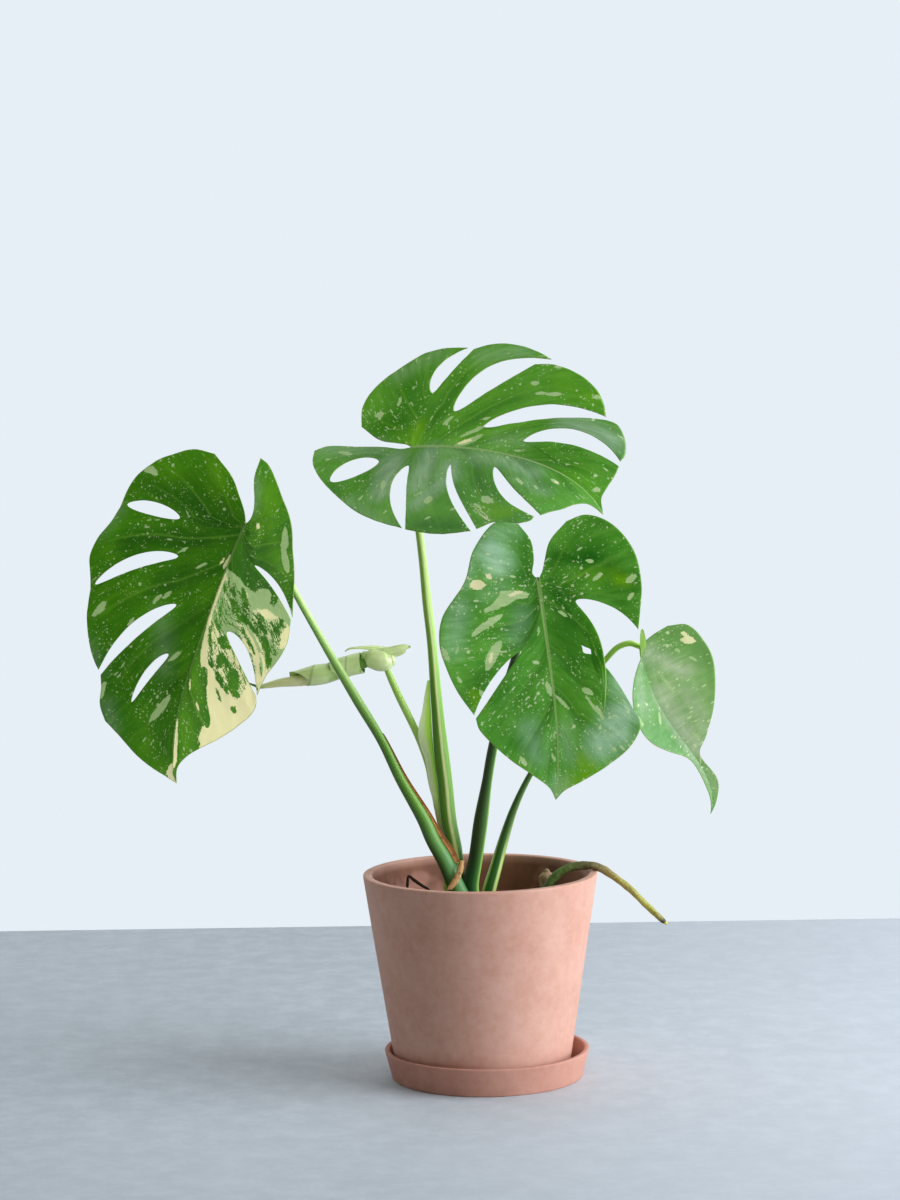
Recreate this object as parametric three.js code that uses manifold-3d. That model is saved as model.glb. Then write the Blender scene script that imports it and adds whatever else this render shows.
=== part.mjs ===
import * as THREE from "three";
import { mergeVertices } from "three/addons/utils/BufferGeometryUtils.js";
import Module from "manifold-3d";

const wasm = await Module();
wasm.setup();

// Potted monstera. Lengths in millimetres, +Z up, the front faces -Y, origin under the pot's axis.

// Pot
const POT_RIM_RADIUS = 100;
const POT_RIM_HEIGHT = 175;
const POT_FOOT_HEIGHT = 5;
const POT_FOOT_RADIUS = 73.8;
const POT_WALL = 7.5;
const POT_FLOOR_HEIGHT = 11;
const DRAIN_RADIUS = 10;

// Saucer
const SAUCER_RIM_RADIUS = 87.5;
const SAUCER_FOOT_RADIUS = 81.4;
const SAUCER_HEIGHT = 24.3;
const SAUCER_SHIFT_X = 4;

// Soil and the plant's crown
const SOIL_HEIGHT = 133;
const SOIL_BUMP = 2.2;
const GAP = 0.3;
const CROWN = { x: -9, y: 5, foot: 100, top: 149.7, radius: 20, topRadius: 27 };
const STEM_FOOT = 150;

// Leaf blades
const BLADE = 0.9;
const RIDGE = 2.2;
const ROWS = 8;
const ROOT_ROW = 2;
const MIDRIB_STEPS = 18;

// A blade lies on a midrib whose direction is given along its length t = 0..1 by polynomials:
// heading, the angle from straight down towards +X, and lean, the angle towards the front.
// roll turns the blade about the midrib, fold raises each half (in degrees, also along t), droop
// bends each half's margin down.
// Outlines are [along midrib, out from midrib]. A slit has a root, and a basal and a distal edge,
// each with a middle and an end; a closed slit (a hole) has a rim point beyond its end.
const leftLeaf = {
  name: "blade_left",
  junction: [-190, -55, 477],
  length: 229,
  heading: [-27, 48, -129, 120],
  lean: [8, -10, -15],
  roll: 22,
  fold: [[8], [28]],
  droop: [5, 3],
  back: [4, -5],
  columns: 4,
  halves: [
    {
      sinus: [[-7, 4], [-20, 13], [-33, 19], [-46, 34]],
      lobes: [
        { margin: [[-42, 54], [-31, 73], [-15, 95], [5, 107]] },
        { margin: [[38, 111], [54, 117], [70, 118], [84, 112]] },
        { margin: [[108, 105], [120, 102], [137, 93], [149, 83]] },
        { margin: [[165, 71], [177, 69]] },
        { margin: [[195, 48], [206, 33], [217, 16], [222, 8]] },
      ],
      slits: [
        { foot: 4, root: [16, 54], basal: [[12, 79], [21, 103]], distal: [[22, 80], [21, 103]], rim: [25, 108] },
        { foot: 14, root: [44, 43], basal: [[56, 80], [91, 105]], distal: [[66, 74], [91, 105]], rim: [97, 107] },
        { foot: 48, root: [82, 30], basal: [[108, 60], [154, 77]], distal: [[117, 52], [157, 74]] },
        { foot: 88, root: [123, 22], basal: [[139, 36], [169, 42]], distal: [[147, 31], [169, 42]], rim: [187, 62] },
      ],
    },
    {
      sinus: [[-6, 3], [-22, 3], [-40, 5], [-60, 17]],
      lobes: [
        { margin: [[-56, 28], [-28, 46], [-2, 63], [24, 83]] },
        { margin: [[75, 105], [88, 102], [105, 94]] },
        { margin: [[146, 82], [169, 59], [186, 36], [200, 18], [214, 5]] },
      ],
      slits: [
        { foot: 8, root: [29, 32], basal: [[37, 70], [57, 101]], distal: [[43, 68], [59, 100]] },
        { foot: 45, root: [87, 29], basal: [[93, 62], [120, 92]], distal: [[104, 56], [124, 93]] },
      ],
    },
  ],
};

const topLeaf = {
  name: "blade_top",
  junction: [-53, 20, 536],
  length: 199,
  heading: [96, -57, 88, -101],
  lean: [36, -15],
  roll: -45,
  fold: [[6], [22]],
  droop: [4, 2],
  back: [90, 18],
  columns: 4,
  halves: [
    {
      sinus: [[-9, 2], [-28, 2], [-52, 2], [-86, 6]],
      lobes: [
        { margin: [[-85, 16], [-74, 31]] },
        { margin: [[-45, 57], [-21, 74], [5, 86], [28, 95]] },
        { margin: [[66, 106], [82, 107], [103, 105], [115, 102]] },
        { margin: [[140, 97], [158, 90], [172, 84], [180, 76]] },
        { margin: [[179, 50], [182, 36], [182, 22], [186, 9]] },
      ],
      slits: [
        { foot: 3, root: [-26, 14], basal: [[-52, 14], [-60, 38]], distal: [[-38, 32], [-60, 38]], rim: [-62, 43] },
        { foot: 6, root: [7, 22], basal: [[3, 54], [44, 100]], distal: [[24, 56], [49, 102]] },
        { foot: 28, root: [51, 21], basal: [[72, 61], [121, 101]], distal: [[79, 58], [126, 98]] },
        { foot: 62, root: [93, 18], basal: [[125, 54], [175, 67]], distal: [[133, 43], [178, 61]] },
      ],
    },
    {
      sinus: [[-6, 3], [-16, 5], [-32, 8], [-50, 20]],
      lobes: [
        { margin: [[-51, 40], [-37, 61], [-15, 78], [10, 89]] },
        { margin: [[53, 97], [73, 100], [90, 97]] },
        { margin: [[101, 90], [118, 89], [133, 83], [143, 73]] },
        { margin: [[156, 65], [165, 59], [172, 48]] },
        { margin: [[178, 29], [182, 16], [187, 6]] },
      ],
      slits: [
        { foot: 3, root: [11, 49], basal: [[11, 71], [33, 91]], distal: [[23, 66], [38, 90]] },
        { foot: 8, root: [34, 33], basal: [[52, 74], [98, 94]], distal: [[63, 57], [88, 86]] },
        { foot: 30, root: [65, 21], basal: [[101, 49], [148, 65]], distal: [[104, 35], [150, 63]] },
        { foot: 68, root: [104, 15], basal: [[136, 41], [173, 41]], distal: [[140, 27], [175, 37]] },
      ],
    },
  ],
};

const frontLeaf = {
  name: "blade_front",
  junction: [50, -90, 431],
  length: 181,
  heading: [7, 0, 8, -24],
  lean: [6, 5, -10],
  roll: 0,
  fold: [[8], [12]],
  droop: [7, 5],
  back: [0, 0],
  columns: 7,
  halves: [
    {
      sinus: [[-5, 4], [-17, 2], [-32, 4], [-47, 14]],
      lobes: [
        { margin: [[-51, 33], [-32, 51], [-7, 60], [21, 83], [42, 88], [62, 85], [84, 78]] },
        { margin: [[118, 64], [136, 51], [150, 37], [162, 20], [172, 6]] },
      ],
      slits: [
        { foot: 22, root: [56, 22], basal: [[76, 49], [105, 67]], distal: [[80, 43], [108, 66]] },
      ],
    },
    {
      sinus: [[-6, 4], [-15, 7], [-30, 12], [-44, 26]],
      lobes: [
        { margin: [[-47, 42], [-37, 63], [-13, 81], [15, 84], [36, 80]] },
        { margin: [], lift: 14 },
        { margin: [[110, 63], [123, 69], [137, 61], [151, 42], [163, 22], [173, 6]] },
      ],
      slits: [
        { foot: 5, root: [22, 28], basal: [[30, 56], [52, 76]], distal: [[60, 44], [112, 39]] },
        { foot: 25, root: [58, 28], basal: [[85, 38], [114, 37]], distal: [[76, 44], [96, 56]] },
      ],
    },
  ],
};

const rightLeaf = {
  name: "blade_right",
  junction: [140, 30, 363],
  length: 161,
  heading: [5.5, 54, 101, -177],
  lean: [5, -10],
  roll: -10,
  fold: [[78, -100, 80], [15]],
  droop: [4, 3],
  back: [5, 0],
  columns: 10,
  halves: [
    {
      sinus: [[-3, 3], [-9, 8], [-14, 17]],
      lobes: [
        { margin: [[-14, 32], [2, 47], [27, 54], [50, 54], [68, 47], [86, 29], [100, 13], [108, 8], [134, 7], [150, 3]] },
      ],
      slits: [],
    },
    {
      sinus: [[-3, 3], [-9, 12], [-15, 25]],
      lobes: [
        { margin: [[-14, 42], [0, 54], [22, 59], [46, 57], [66, 50], [83, 38], [98, 19], [108, 5], [134, 8], [148, 4]] },
      ],
      slits: [],
    },
  ],
};

// Stems and roots: a centre line and a radius at each of its points
const stems = [
  {
    name: "petiole_left",
    slot: "stalk_green",
    line: [[-13, -13, STEM_FOOT], [-21, -9, 166], [-30, -8, 187], [-39.5, -8, 204.5], [-47, -9, 222],
      [-66, -13, 257], [-82, -18, 292], [-101.5, -23, 326.5], [-120.5, -28, 361], [-139, -34, 395.5],
      [-159, -41, 434], [-173, -43.5, 457], [-185.5, -46, 472], [-189.6, -53.6, 476.6]],
    radius: [7, 7.3, 7, 6.4, 5.8, 4.4, 4, 4.1, 3.4, 3, 3, 3.1, 3.2, 2.3],
    sides: 10,
    steps: 22,
    flatFoot: true,
  },
  {
    name: "petiole_top",
    slot: "stalk_green",
    line: [[-18, 10, STEM_FOOT], [-19, 9, 176], [-21, 10, 193], [-26, 11, 218], [-29, 12, 253],
      [-32.5, 13, 287], [-35, 14, 321], [-38.5, 16, 372], [-42, 18, 406], [-45, 21, 440],
      [-49.5, 25, 480], [-52, 28.5, 510], [-50, 27, 526], [-52.3, 20.9, 534.9]],
    radius: [5.5, 5.8, 6.2, 6.6, 6.4, 6, 5, 4, 3.9, 3.4, 3.1, 3, 3, 2.3],
    sides: 10,
    steps: 22,
    flatFoot: true,
  },
  {
    name: "petiole_front",
    slot: "stalk_green",
    line: [[-7, 2, STEM_FOOT], [-8, 2, 164], [-4, 1, 185], [1.3, -2, 220], [7, -8, 255],
      [11.5, -14, 281], [23, -30, 334], [32, -42, 365], [43, -62, 404], [49.5, -78, 427], [50, -88.6, 430.8]],
    radius: [6.8, 6.8, 6.2, 6, 4.3, 4.1, 3.4, 3.2, 3.1, 3, 2.2],
    sides: 10,
    steps: 20,
    flatFoot: true,
  },
  {
    name: "petiole_right",
    slot: "stalk_pale",
    line: [[6, 14, STEM_FOOT], [9, 13, 162], [13, 13, 175], [20.5, 14, 200], [29.5, 15, 226], [41.5, 17, 251],
      [70, 22, 296], [96, 27, 335], [110, 30, 352], [121, 32, 362.5], [131, 32.5, 365.5], [138.9, 31.5, 363]],
    radius: [6, 5.8, 5.4, 4.5, 3.3, 2.6, 2.4, 2.4, 2.4, 2.5, 2.6, 2.4],
    sides: 10,
    steps: 26,
    flatFoot: true,
  },
  {
    name: "petiole_new",
    slot: "stalk_pale",
    line: [[-27, 22, STEM_FOOT], [-29, 21.5, 190], [-31, 21.5, 213], [-35, 21, 230], [-39.5, 20, 248],
      [-42.5, 19, 265], [-49, 18, 285], [-56.5, 18, 302], [-65.5, 19, 321], [-73, 20, 338], [-76.3, 20, 346.3]],
    radius: [3.8, 3.6, 3.4, 3.3, 3.3, 3.3, 3.3, 3.2, 3.2, 3, 2.8],
    sides: 10,
    steps: 18,
    flatFoot: true,
  },
  {
    name: "rolled_leaf",
    slot: "new_leaf",
    line: [[-197, 20, 336], [-178, 20, 337], [-155, 20, 339], [-143, 20, 341.5], [-131, 20, 343.5],
      [-119, 20, 348], [-107, 20, 351], [-95, 20, 354], [-84, 20, 356], [-74, 20, 355.5],
      [-68, 20, 358.5], [-63, 20, 363.5], [-57, 20, 366]],
    radius: [1.2, 3, 4, 5.4, 7, 7.2, 7, 7.6, 7.2, 8.4, 6, 2.2, 1],
    sides: 10,
    steps: 24,
  },
  {
    name: "aerial_root",
    slot: "root",
    line: [[51, 0, 110], [51, 0, 136], [55, 0, 157], [60, 0, 166], [67, 0, 173], [77, 0, 178.2],
      [88, 0, 179.4], [97, 0, 178.9], [104, 0, 176.2], [113, 0, 170], [126, -1, 160], [142, -2, 144],
      [154, -3, 132.5], [158, -3, 129]],
    radius: [3.4, 3.5, 3.6, 3.7, 3.6, 3.6, 3.6, 3.6, 3.4, 3.1, 2.9, 2.7, 2.4, 1.1],
    sides: 10,
    steps: 26,
  },
  {
    name: "root_stub",
    slot: "bark",
    line: [[57, 20, 115], [57, 20, 150], [57, 20, 161], [57, 20, 166], [57, 20, 168]],
    radius: [4.6, 4.8, 5.2, 4, 1.5],
    sides: 10,
    steps: 10,
  },
  {
    name: "small_root",
    slot: "bark",
    line: [[-61, 10, 120], [-61, 10, 150], [-60.5, 10, 166], [-56, 10, 171], [-48, 10, 163],
      [-45, 10, 145], [-45, 10, 120]],
    radius: [1.2, 1.2, 1.2, 1.1, 1.1, 1.2, 1.2],
    sides: 6,
    steps: 18,
  },
];

const soilHoles = [
  { x: CROWN.x, y: CROWN.y, radius: CROWN.radius + GAP, foot: CROWN.foot - GAP },
  { x: 51, y: 0, radius: 4.2, foot: 109 },
  { x: 57, y: 20, radius: 5.4, foot: 114 },
  { x: -61, y: 10, radius: 1.6, foot: 119 },
  { x: -45, y: 10, radius: 1.6, foot: 119 },
];

// Thin sheath strips beside a stem: from and to count the stem's points, reach is the strip's width
const sheaths = [
  {
    name: "sheath_pale",
    slot: "sheath_pale",
    stem: "petiole_top",
    from: 2.5,
    to: 6.35,
    seat: [-1, -0.4],
    spread: [-1, 0.12],
    thickness: 0.9,
    reach: [1.5, 2.5, 3.2, 4.3, 5.5, 7, 7.2, 8, 10.5, 12, 10.5, 7.5, 5, 1.2],
  },
  {
    name: "sheath_dry",
    slot: "sheath_dry",
    stem: "petiole_left",
    from: 1.75,
    to: 6.1,
    seat: [0.88, 0],
    spread: [0.88, 0],
    thickness: 0.8,
    reach: [3, 4, 4.4, 4, 3.6, 3.2, 2.8, 2.6, 2.5, 2.4, 2.2, 1.4],
  },
];

const material = {
  pot_clay: new THREE.MeshStandardMaterial({ color: 0xd9a99a, roughness: 0.75 }),
  saucer_clay: new THREE.MeshStandardMaterial({ color: 0xb98a7d, roughness: 0.75 }),
  soil: new THREE.MeshStandardMaterial({ color: 0x3a2a20, roughness: 1 }),
  bark: new THREE.MeshStandardMaterial({ color: 0x6b4a30, roughness: 0.9 }),
  stalk_green: new THREE.MeshStandardMaterial({ color: 0x466b32, roughness: 0.5 }),
  stalk_pale: new THREE.MeshStandardMaterial({ color: 0x9db86a, roughness: 0.5 }),
  leaf: new THREE.MeshStandardMaterial({ color: 0x2f5a2c, roughness: 0.4, side: THREE.DoubleSide }),
  new_leaf: new THREE.MeshStandardMaterial({ color: 0xb9c97a, roughness: 0.5 }),
  sheath_pale: new THREE.MeshStandardMaterial({ color: 0xc4cf9a, roughness: 0.6 }),
  sheath_dry: new THREE.MeshStandardMaterial({ color: 0x9a6b3f, roughness: 0.8 }),
  root: new THREE.MeshStandardMaterial({ color: 0x9a8f45, roughness: 0.7 }),
};

const group = new THREE.Group();

function signedVolume(geometry) {
  const p = geometry.attributes.position;
  const index = geometry.index.array;
  const a = new THREE.Vector3();
  const b = new THREE.Vector3();
  const c = new THREE.Vector3();
  let volume = 0;
  for (let i = 0; i < index.length; i += 3) {
    a.fromBufferAttribute(p, index[i]);
    b.fromBufferAttribute(p, index[i + 1]);
    c.fromBufferAttribute(p, index[i + 2]);
    volume += a.dot(b.cross(c)) / 6;
  }
  return volume;
}

// Closed body with shared corners, no flat triangles and outward faces
function closedBody(geometry) {
  geometry.deleteAttribute("normal");
  geometry.deleteAttribute("uv");
  const merged = mergeVertices(geometry, 1e-4);
  const kept = [];
  const index = merged.index.array;
  for (let i = 0; i < index.length; i += 3) {
    const [a, b, c] = [index[i], index[i + 1], index[i + 2]];
    if (a !== b && b !== c && c !== a) {
      kept.push(a, b, c);
    }
  }
  merged.setIndex(kept);
  if (signedVolume(merged) < 0) {
    merged.setIndex(kept.reverse());
  }
  return merged;
}

function bodyFrom(vertices, triangles) {
  const geometry = new THREE.BufferGeometry();
  geometry.setAttribute("position", new THREE.Float32BufferAttribute(vertices.flat(), 3));
  geometry.setIndex(triangles.flat());
  return closedBody(geometry);
}

function toManifold(geometry) {
  return new wasm.Manifold(new wasm.Mesh({
    numProp: 3,
    vertProperties: new Float32Array(geometry.attributes.position.array),
    triVerts: new Uint32Array(geometry.index.array),
  }));
}

function fromManifold(solid) {
  const mesh = solid.getMesh();
  const geometry = new THREE.BufferGeometry();
  geometry.setAttribute("position", new THREE.BufferAttribute(mesh.vertProperties, 3));
  geometry.setIndex(new THREE.BufferAttribute(mesh.triVerts, 1));
  return geometry;
}

function addMesh(name, slot, geometry) {
  geometry.computeVertexNormals();
  const mesh = new THREE.Mesh(geometry, material[slot]);
  mesh.name = name;
  group.add(mesh);
}

function revolve(profile, segments) {
  const points = profile.map(([r, z]) => new THREE.Vector2(r, z));
  const geometry = new THREE.LatheGeometry(points, segments);
  geometry.rotateX(Math.PI / 2);
  return closedBody(geometry);
}

// Smooth line through points of two or three coordinates, sampled at count + 1 places
function smoothLine(points, count) {
  const curve = new THREE.CatmullRomCurve3(points.map(([x, y, z]) => new THREE.Vector3(x, y, z ?? 0)));
  const samples = [];
  for (let i = 0; i <= count; i += 1) {
    samples.push(curve.getPoint(i / count));
  }
  return samples;
}

function polynomial(coefficients, t) {
  return coefficients.reduce((sum, value, power) => sum + value * t ** power, 0);
}

// Tube whose radius changes along its centre line
function stemBody({ line, radius, sides, steps, flatFoot }) {
  const curve = new THREE.CatmullRomCurve3(line.map((p) => new THREE.Vector3(...p)));
  const vertices = [];
  const triangles = [];
  let across = new THREE.Vector3(0, 1, 0);
  for (let i = 0; i <= steps; i += 1) {
    const u = i / steps;
    const centre = curve.getPoint(u);
    const along = curve.getTangent(u);
    if (flatFoot && i === 0) {
      along.set(0, 0, 1);
    }
    across = across.clone().addScaledVector(along, -across.dot(along)).normalize();
    const beside = new THREE.Vector3().crossVectors(along, across);
    const place = u * (radius.length - 1);
    const low = Math.min(Math.floor(place), radius.length - 2);
    const r = THREE.MathUtils.lerp(radius[low], radius[low + 1], place - low);
    for (let k = 0; k < sides; k += 1) {
      const angle = (2 * Math.PI * k) / sides;
      const point = centre.clone()
        .addScaledVector(across, r * Math.cos(angle))
        .addScaledVector(beside, r * Math.sin(angle));
      vertices.push(point.toArray());
    }
  }
  const firstCentre = vertices.length;
  vertices.push(curve.getPoint(0).toArray());
  vertices.push(curve.getPoint(1).toArray());
  for (let k = 0; k < sides; k += 1) {
    const next = (k + 1) % sides;
    triangles.push([firstCentre, next, k]);
    triangles.push([firstCentre + 1, steps * sides + k, steps * sides + next]);
    for (let i = 0; i < steps; i += 1) {
      const low = i * sides;
      const high = low + sides;
      triangles.push([low + k, low + next, high + next]);
      triangles.push([low + k, high + next, high + k]);
    }
  }
  return bodyFrom(vertices, triangles);
}

// Give a sheet of triangles a thickness: both faces alike, with walls along its free edges
function thicken(points, triangles, thickness, ridgeAt) {
  const normals = points.map(() => new THREE.Vector3());
  const edgeA = new THREE.Vector3();
  const edgeB = new THREE.Vector3();
  for (const [a, b, c] of triangles) {
    edgeA.subVectors(points[b], points[a]);
    edgeB.subVectors(points[c], points[a]);
    edgeA.cross(edgeB);
    normals[a].add(edgeA);
    normals[b].add(edgeA);
    normals[c].add(edgeA);
  }
  const count = points.length;
  const top = points.map((p, i) => p.clone().addScaledVector(normals[i].normalize(), thickness / 2));
  const under = points.map((p, i) => p.clone().addScaledVector(normals[i], -thickness / 2 - ridgeAt(i)));
  const vertices = [...top, ...under].map((p) => p.toArray());
  const faces = [];
  const edges = new Set();
  for (const [a, b, c] of triangles) {
    faces.push([a, b, c], [a + count, c + count, b + count]);
    edges.add(`${a},${b}`).add(`${b},${c}`).add(`${c},${a}`);
  }
  for (const edge of edges) {
    const [a, b] = edge.split(",").map(Number);
    if (!edges.has(`${b},${a}`)) {
      faces.push([b, a, a + count], [b, a + count, b + count]);
    }
  }
  return bodyFrom(vertices, faces);
}

// Midrib of a blade: place, side direction and upper-face direction at each millimetre
function midribFrames(leaf) {
  const direction = (heading, lean) => {
    const h = THREE.MathUtils.degToRad(heading);
    const q = THREE.MathUtils.degToRad(lean);
    return new THREE.Vector3(Math.sin(h) * Math.cos(q), -Math.sin(q), -Math.cos(h) * Math.cos(q));
  };
  const backLength = 120;
  const front = new THREE.Vector3(0, -1, 0);
  const turn = THREE.MathUtils.degToRad(leaf.roll);
  const frames = [];
  for (let a = -backLength; a <= leaf.length + 1; a += 1) {
    const t = Math.max(a / leaf.length, 0);
    const heading = polynomial(leaf.heading, t);
    const lean = polynomial(leaf.lean, t);
    const blend = THREE.MathUtils.smoothstep(-a, 0, 30);
    const path = direction(
      THREE.MathUtils.lerp(heading, leaf.back[0], blend),
      THREE.MathUtils.lerp(lean, leaf.back[1], blend),
    );
    const along = direction(heading, lean);
    const facing = front.clone().addScaledVector(along, -front.dot(along)).normalize();
    const sideways = new THREE.Vector3().crossVectors(along, facing);
    const up = facing.multiplyScalar(Math.cos(turn)).addScaledVector(sideways, Math.sin(turn));
    frames.push({ path, up, side: new THREE.Vector3().crossVectors(along, up), place: new THREE.Vector3() });
  }
  for (let i = 1; i < frames.length; i += 1) {
    const step = frames[i].path.clone().add(frames[i - 1].path).multiplyScalar(0.5);
    frames[i].place.copy(frames[i - 1].place).add(step);
  }
  const shift = new THREE.Vector3(...leaf.junction).sub(frames[backLength].place);
  frames.forEach((frame) => frame.place.add(shift));
  return (a) => {
    const at = THREE.MathUtils.clamp(a + backLength, 0, frames.length - 1.001);
    const low = frames[Math.floor(at)];
    const high = frames[Math.floor(at) + 1];
    const part = at - Math.floor(at);
    return {
      place: low.place.clone().lerp(high.place, part),
      side: low.side.clone().lerp(high.side, part).normalize(),
      up: low.up.clone().lerp(high.up, part).normalize(),
    };
  };
}

// Place in space of a flat outline point (a along the midrib, c out from it) of one half
function onBlade(leaf, frameAt, half, a, c, lift) {
  const frame = frameAt(a);
  const open = polynomial(leaf.fold[half], THREE.MathUtils.clamp(a / leaf.length, 0, 1));
  const fold = THREE.MathUtils.degToRad(open);
  const sign = half === 0 ? 1 : -1;
  const rise = c * Math.sin(fold) - leaf.droop[half] * (c / 100) ** 2 + lift;
  return frame.place
    .addScaledVector(frame.side, sign * c * Math.cos(fold))
    .addScaledVector(frame.up, rise);
}

// Quadratic through a start, a middle and an end
function arc(start, middle, end, t) {
  return start.map((value, i) => {
    const control = 2 * middle[i] - (value + end[i]) / 2;
    return (1 - t) ** 2 * value + 2 * t * (1 - t) * control + t ** 2 * end[i];
  });
}

// One side of a slit as ROWS + 1 outline points: midrib, slit root, slit edge, margin
function slitEdge(slit, edge) {
  const lastRow = slit.rim ? ROWS - 1 : ROWS;
  const points = [];
  for (let row = 0; row <= ROWS; row += 1) {
    if (row <= ROOT_ROW) {
      const t = row / ROOT_ROW;
      points.push([slit.foot + (slit.root[0] - slit.foot) * t, slit.root[1] * t]);
    } else if (row <= lastRow) {
      points.push(arc(slit.root, edge[0], edge[1], (row - ROOT_ROW) / (lastRow - ROOT_ROW)));
    } else {
      points.push(slit.rim);
    }
  }
  return points;
}

function plainEdge(points) {
  return smoothLine(points, ROWS).map((p) => [p.x, p.y]);
}

// Outline points of a lobe: columns between its two edges, rows from midrib to margin
function lobeGrid(lobe, before, after, columns) {
  const margin = smoothLine([before[ROWS], ...lobe.margin, after[ROWS]], columns);
  const grid = [];
  for (let row = 0; row <= ROWS; row += 1) {
    const bulge = (row / ROWS) ** 2.5;
    for (let column = 0; column <= columns; column += 1) {
      const t = column / columns;
      const straight = [0, 1].map((k) => THREE.MathUtils.lerp(before[row][k], after[row][k], t));
      const chord = [0, 1].map((k) => THREE.MathUtils.lerp(before[ROWS][k], after[ROWS][k], t));
      const rim = [margin[column].x, margin[column].y];
      const swell = column === 0 || column === columns ? 0 : bulge;
      grid.push(straight.map((value, k) => value + swell * (rim[k] - chord[k])));
    }
  }
  return grid;
}

// Strip of triangles between two lines of corners, always across the shorter diagonal
function stitch(line, other, flat, addFace) {
  const apart = (p, q) => Math.hypot(flat[p][0] - flat[q][0], flat[p][1] - flat[q][1]);
  let i = 0;
  let k = 0;
  while (i < line.length - 1 || k < other.length - 1) {
    const alongLine = i < line.length - 1 ? apart(line[i + 1], other[k]) : Infinity;
    const alongOther = k < other.length - 1 ? apart(line[i], other[k + 1]) : Infinity;
    if (alongLine < alongOther) {
      addFace(line[i], line[i + 1], other[k]);
      i += 1;
    } else {
      addFace(line[i], other[k + 1], other[k]);
      k += 1;
    }
  }
}

function bladeBody(leaf) {
  const frameAt = midribFrames(leaf);
  const points = [];
  const flat = [];
  const triangles = [];
  const known = new Map();
  const corner = (half, a, c, lift) => {
    const point = onBlade(leaf, frameAt, half, a, c, lift);
    const key = point.toArray().map((value) => Math.round(value * 1000)).join();
    if (!known.has(key)) {
      known.set(key, points.length);
      points.push(point);
      flat.push([a, c]);
    }
    return known.get(key);
  };
  const addFace = (half, a, b, c) => {
    if (a !== b && b !== c && c !== a) {
      triangles.push(half === 0 ? [a, b, c] : [a, c, b]);
    }
  };
  leaf.halves.forEach((shape, half) => {
    const edges = [[plainEdge([[0, 0], ...shape.sinus])]];
    for (const slit of shape.slits) {
      edges[edges.length - 1].push(slitEdge(slit, slit.basal));
      edges.push([slitEdge(slit, slit.distal)]);
    }
    edges[edges.length - 1].push(plainEdge([[0.9 * leaf.length, 0], [leaf.length, 0]]));
    const firstRow = [];
    shape.lobes.forEach((lobe, k) => {
      const grid = lobeGrid(lobe, edges[k][0], edges[k][1], leaf.columns);
      const width = leaf.columns + 1;
      const ids = grid.map(([a, c], i) => {
        const row = Math.floor(i / width);
        const out = Math.max(row - ROOT_ROW, 0) / (ROWS - ROOT_ROW);
        return row === 0 ? -1 : corner(half, a, c, (lobe.lift ?? 0) * out ** 1.5);
      });
      firstRow.push(...ids.slice(width + (k === 0 ? 0 : 1), 2 * width));
      for (let row = 1; row < ROWS; row += 1) {
        for (let column = 0; column < leaf.columns; column += 1) {
          const i = row * width + column;
          addFace(half, ids[i], ids[i + 1], ids[i + width + 1]);
          addFace(half, ids[i], ids[i + width + 1], ids[i + width]);
        }
      }
    });
    const midrib = [];
    for (let i = 0; i <= MIDRIB_STEPS; i += 1) {
      midrib.push(corner(half, (0.9 * leaf.length * i) / MIDRIB_STEPS, 0, 0));
    }
    stitch(midrib, firstRow, flat, (a, b, c) => addFace(half, a, b, c));
  });
  const ridgeAt = (i) => {
    const [a, c] = flat[i];
    const taper = THREE.MathUtils.smoothstep(a, 0, 14) * (1 - (0.85 * a) / leaf.length);
    return c === 0 && a > 0 ? RIDGE * taper : 0;
  };
  return thicken(points, triangles, BLADE, ridgeAt);
}

// Saucer: a shallow dish under the pot
const saucerInside = POT_FOOT_RADIUS + SAUCER_SHIFT_X + 0.5;
const saucer = revolve([
  [0, 0],
  [SAUCER_FOOT_RADIUS - 1, 0],
  [SAUCER_FOOT_RADIUS, 1],
  [SAUCER_RIM_RADIUS - 0.4, SAUCER_HEIGHT - 2.3],
  [SAUCER_RIM_RADIUS, SAUCER_HEIGHT - 1.1],
  [SAUCER_RIM_RADIUS - 0.8, SAUCER_HEIGHT - 0.2],
  [SAUCER_RIM_RADIUS - 2, SAUCER_HEIGHT],
  [SAUCER_RIM_RADIUS - 3.4, SAUCER_HEIGHT - 0.2],
  [SAUCER_RIM_RADIUS - 4.2, SAUCER_HEIGHT - 1],
  [saucerInside + 0.6, POT_FOOT_HEIGHT + 1],
  [saucerInside, POT_FOOT_HEIGHT],
  [0, POT_FOOT_HEIGHT],
], 56);
saucer.translate(SAUCER_SHIFT_X, 0, 0);
addMesh("saucer", "saucer_clay", saucer);

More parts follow.
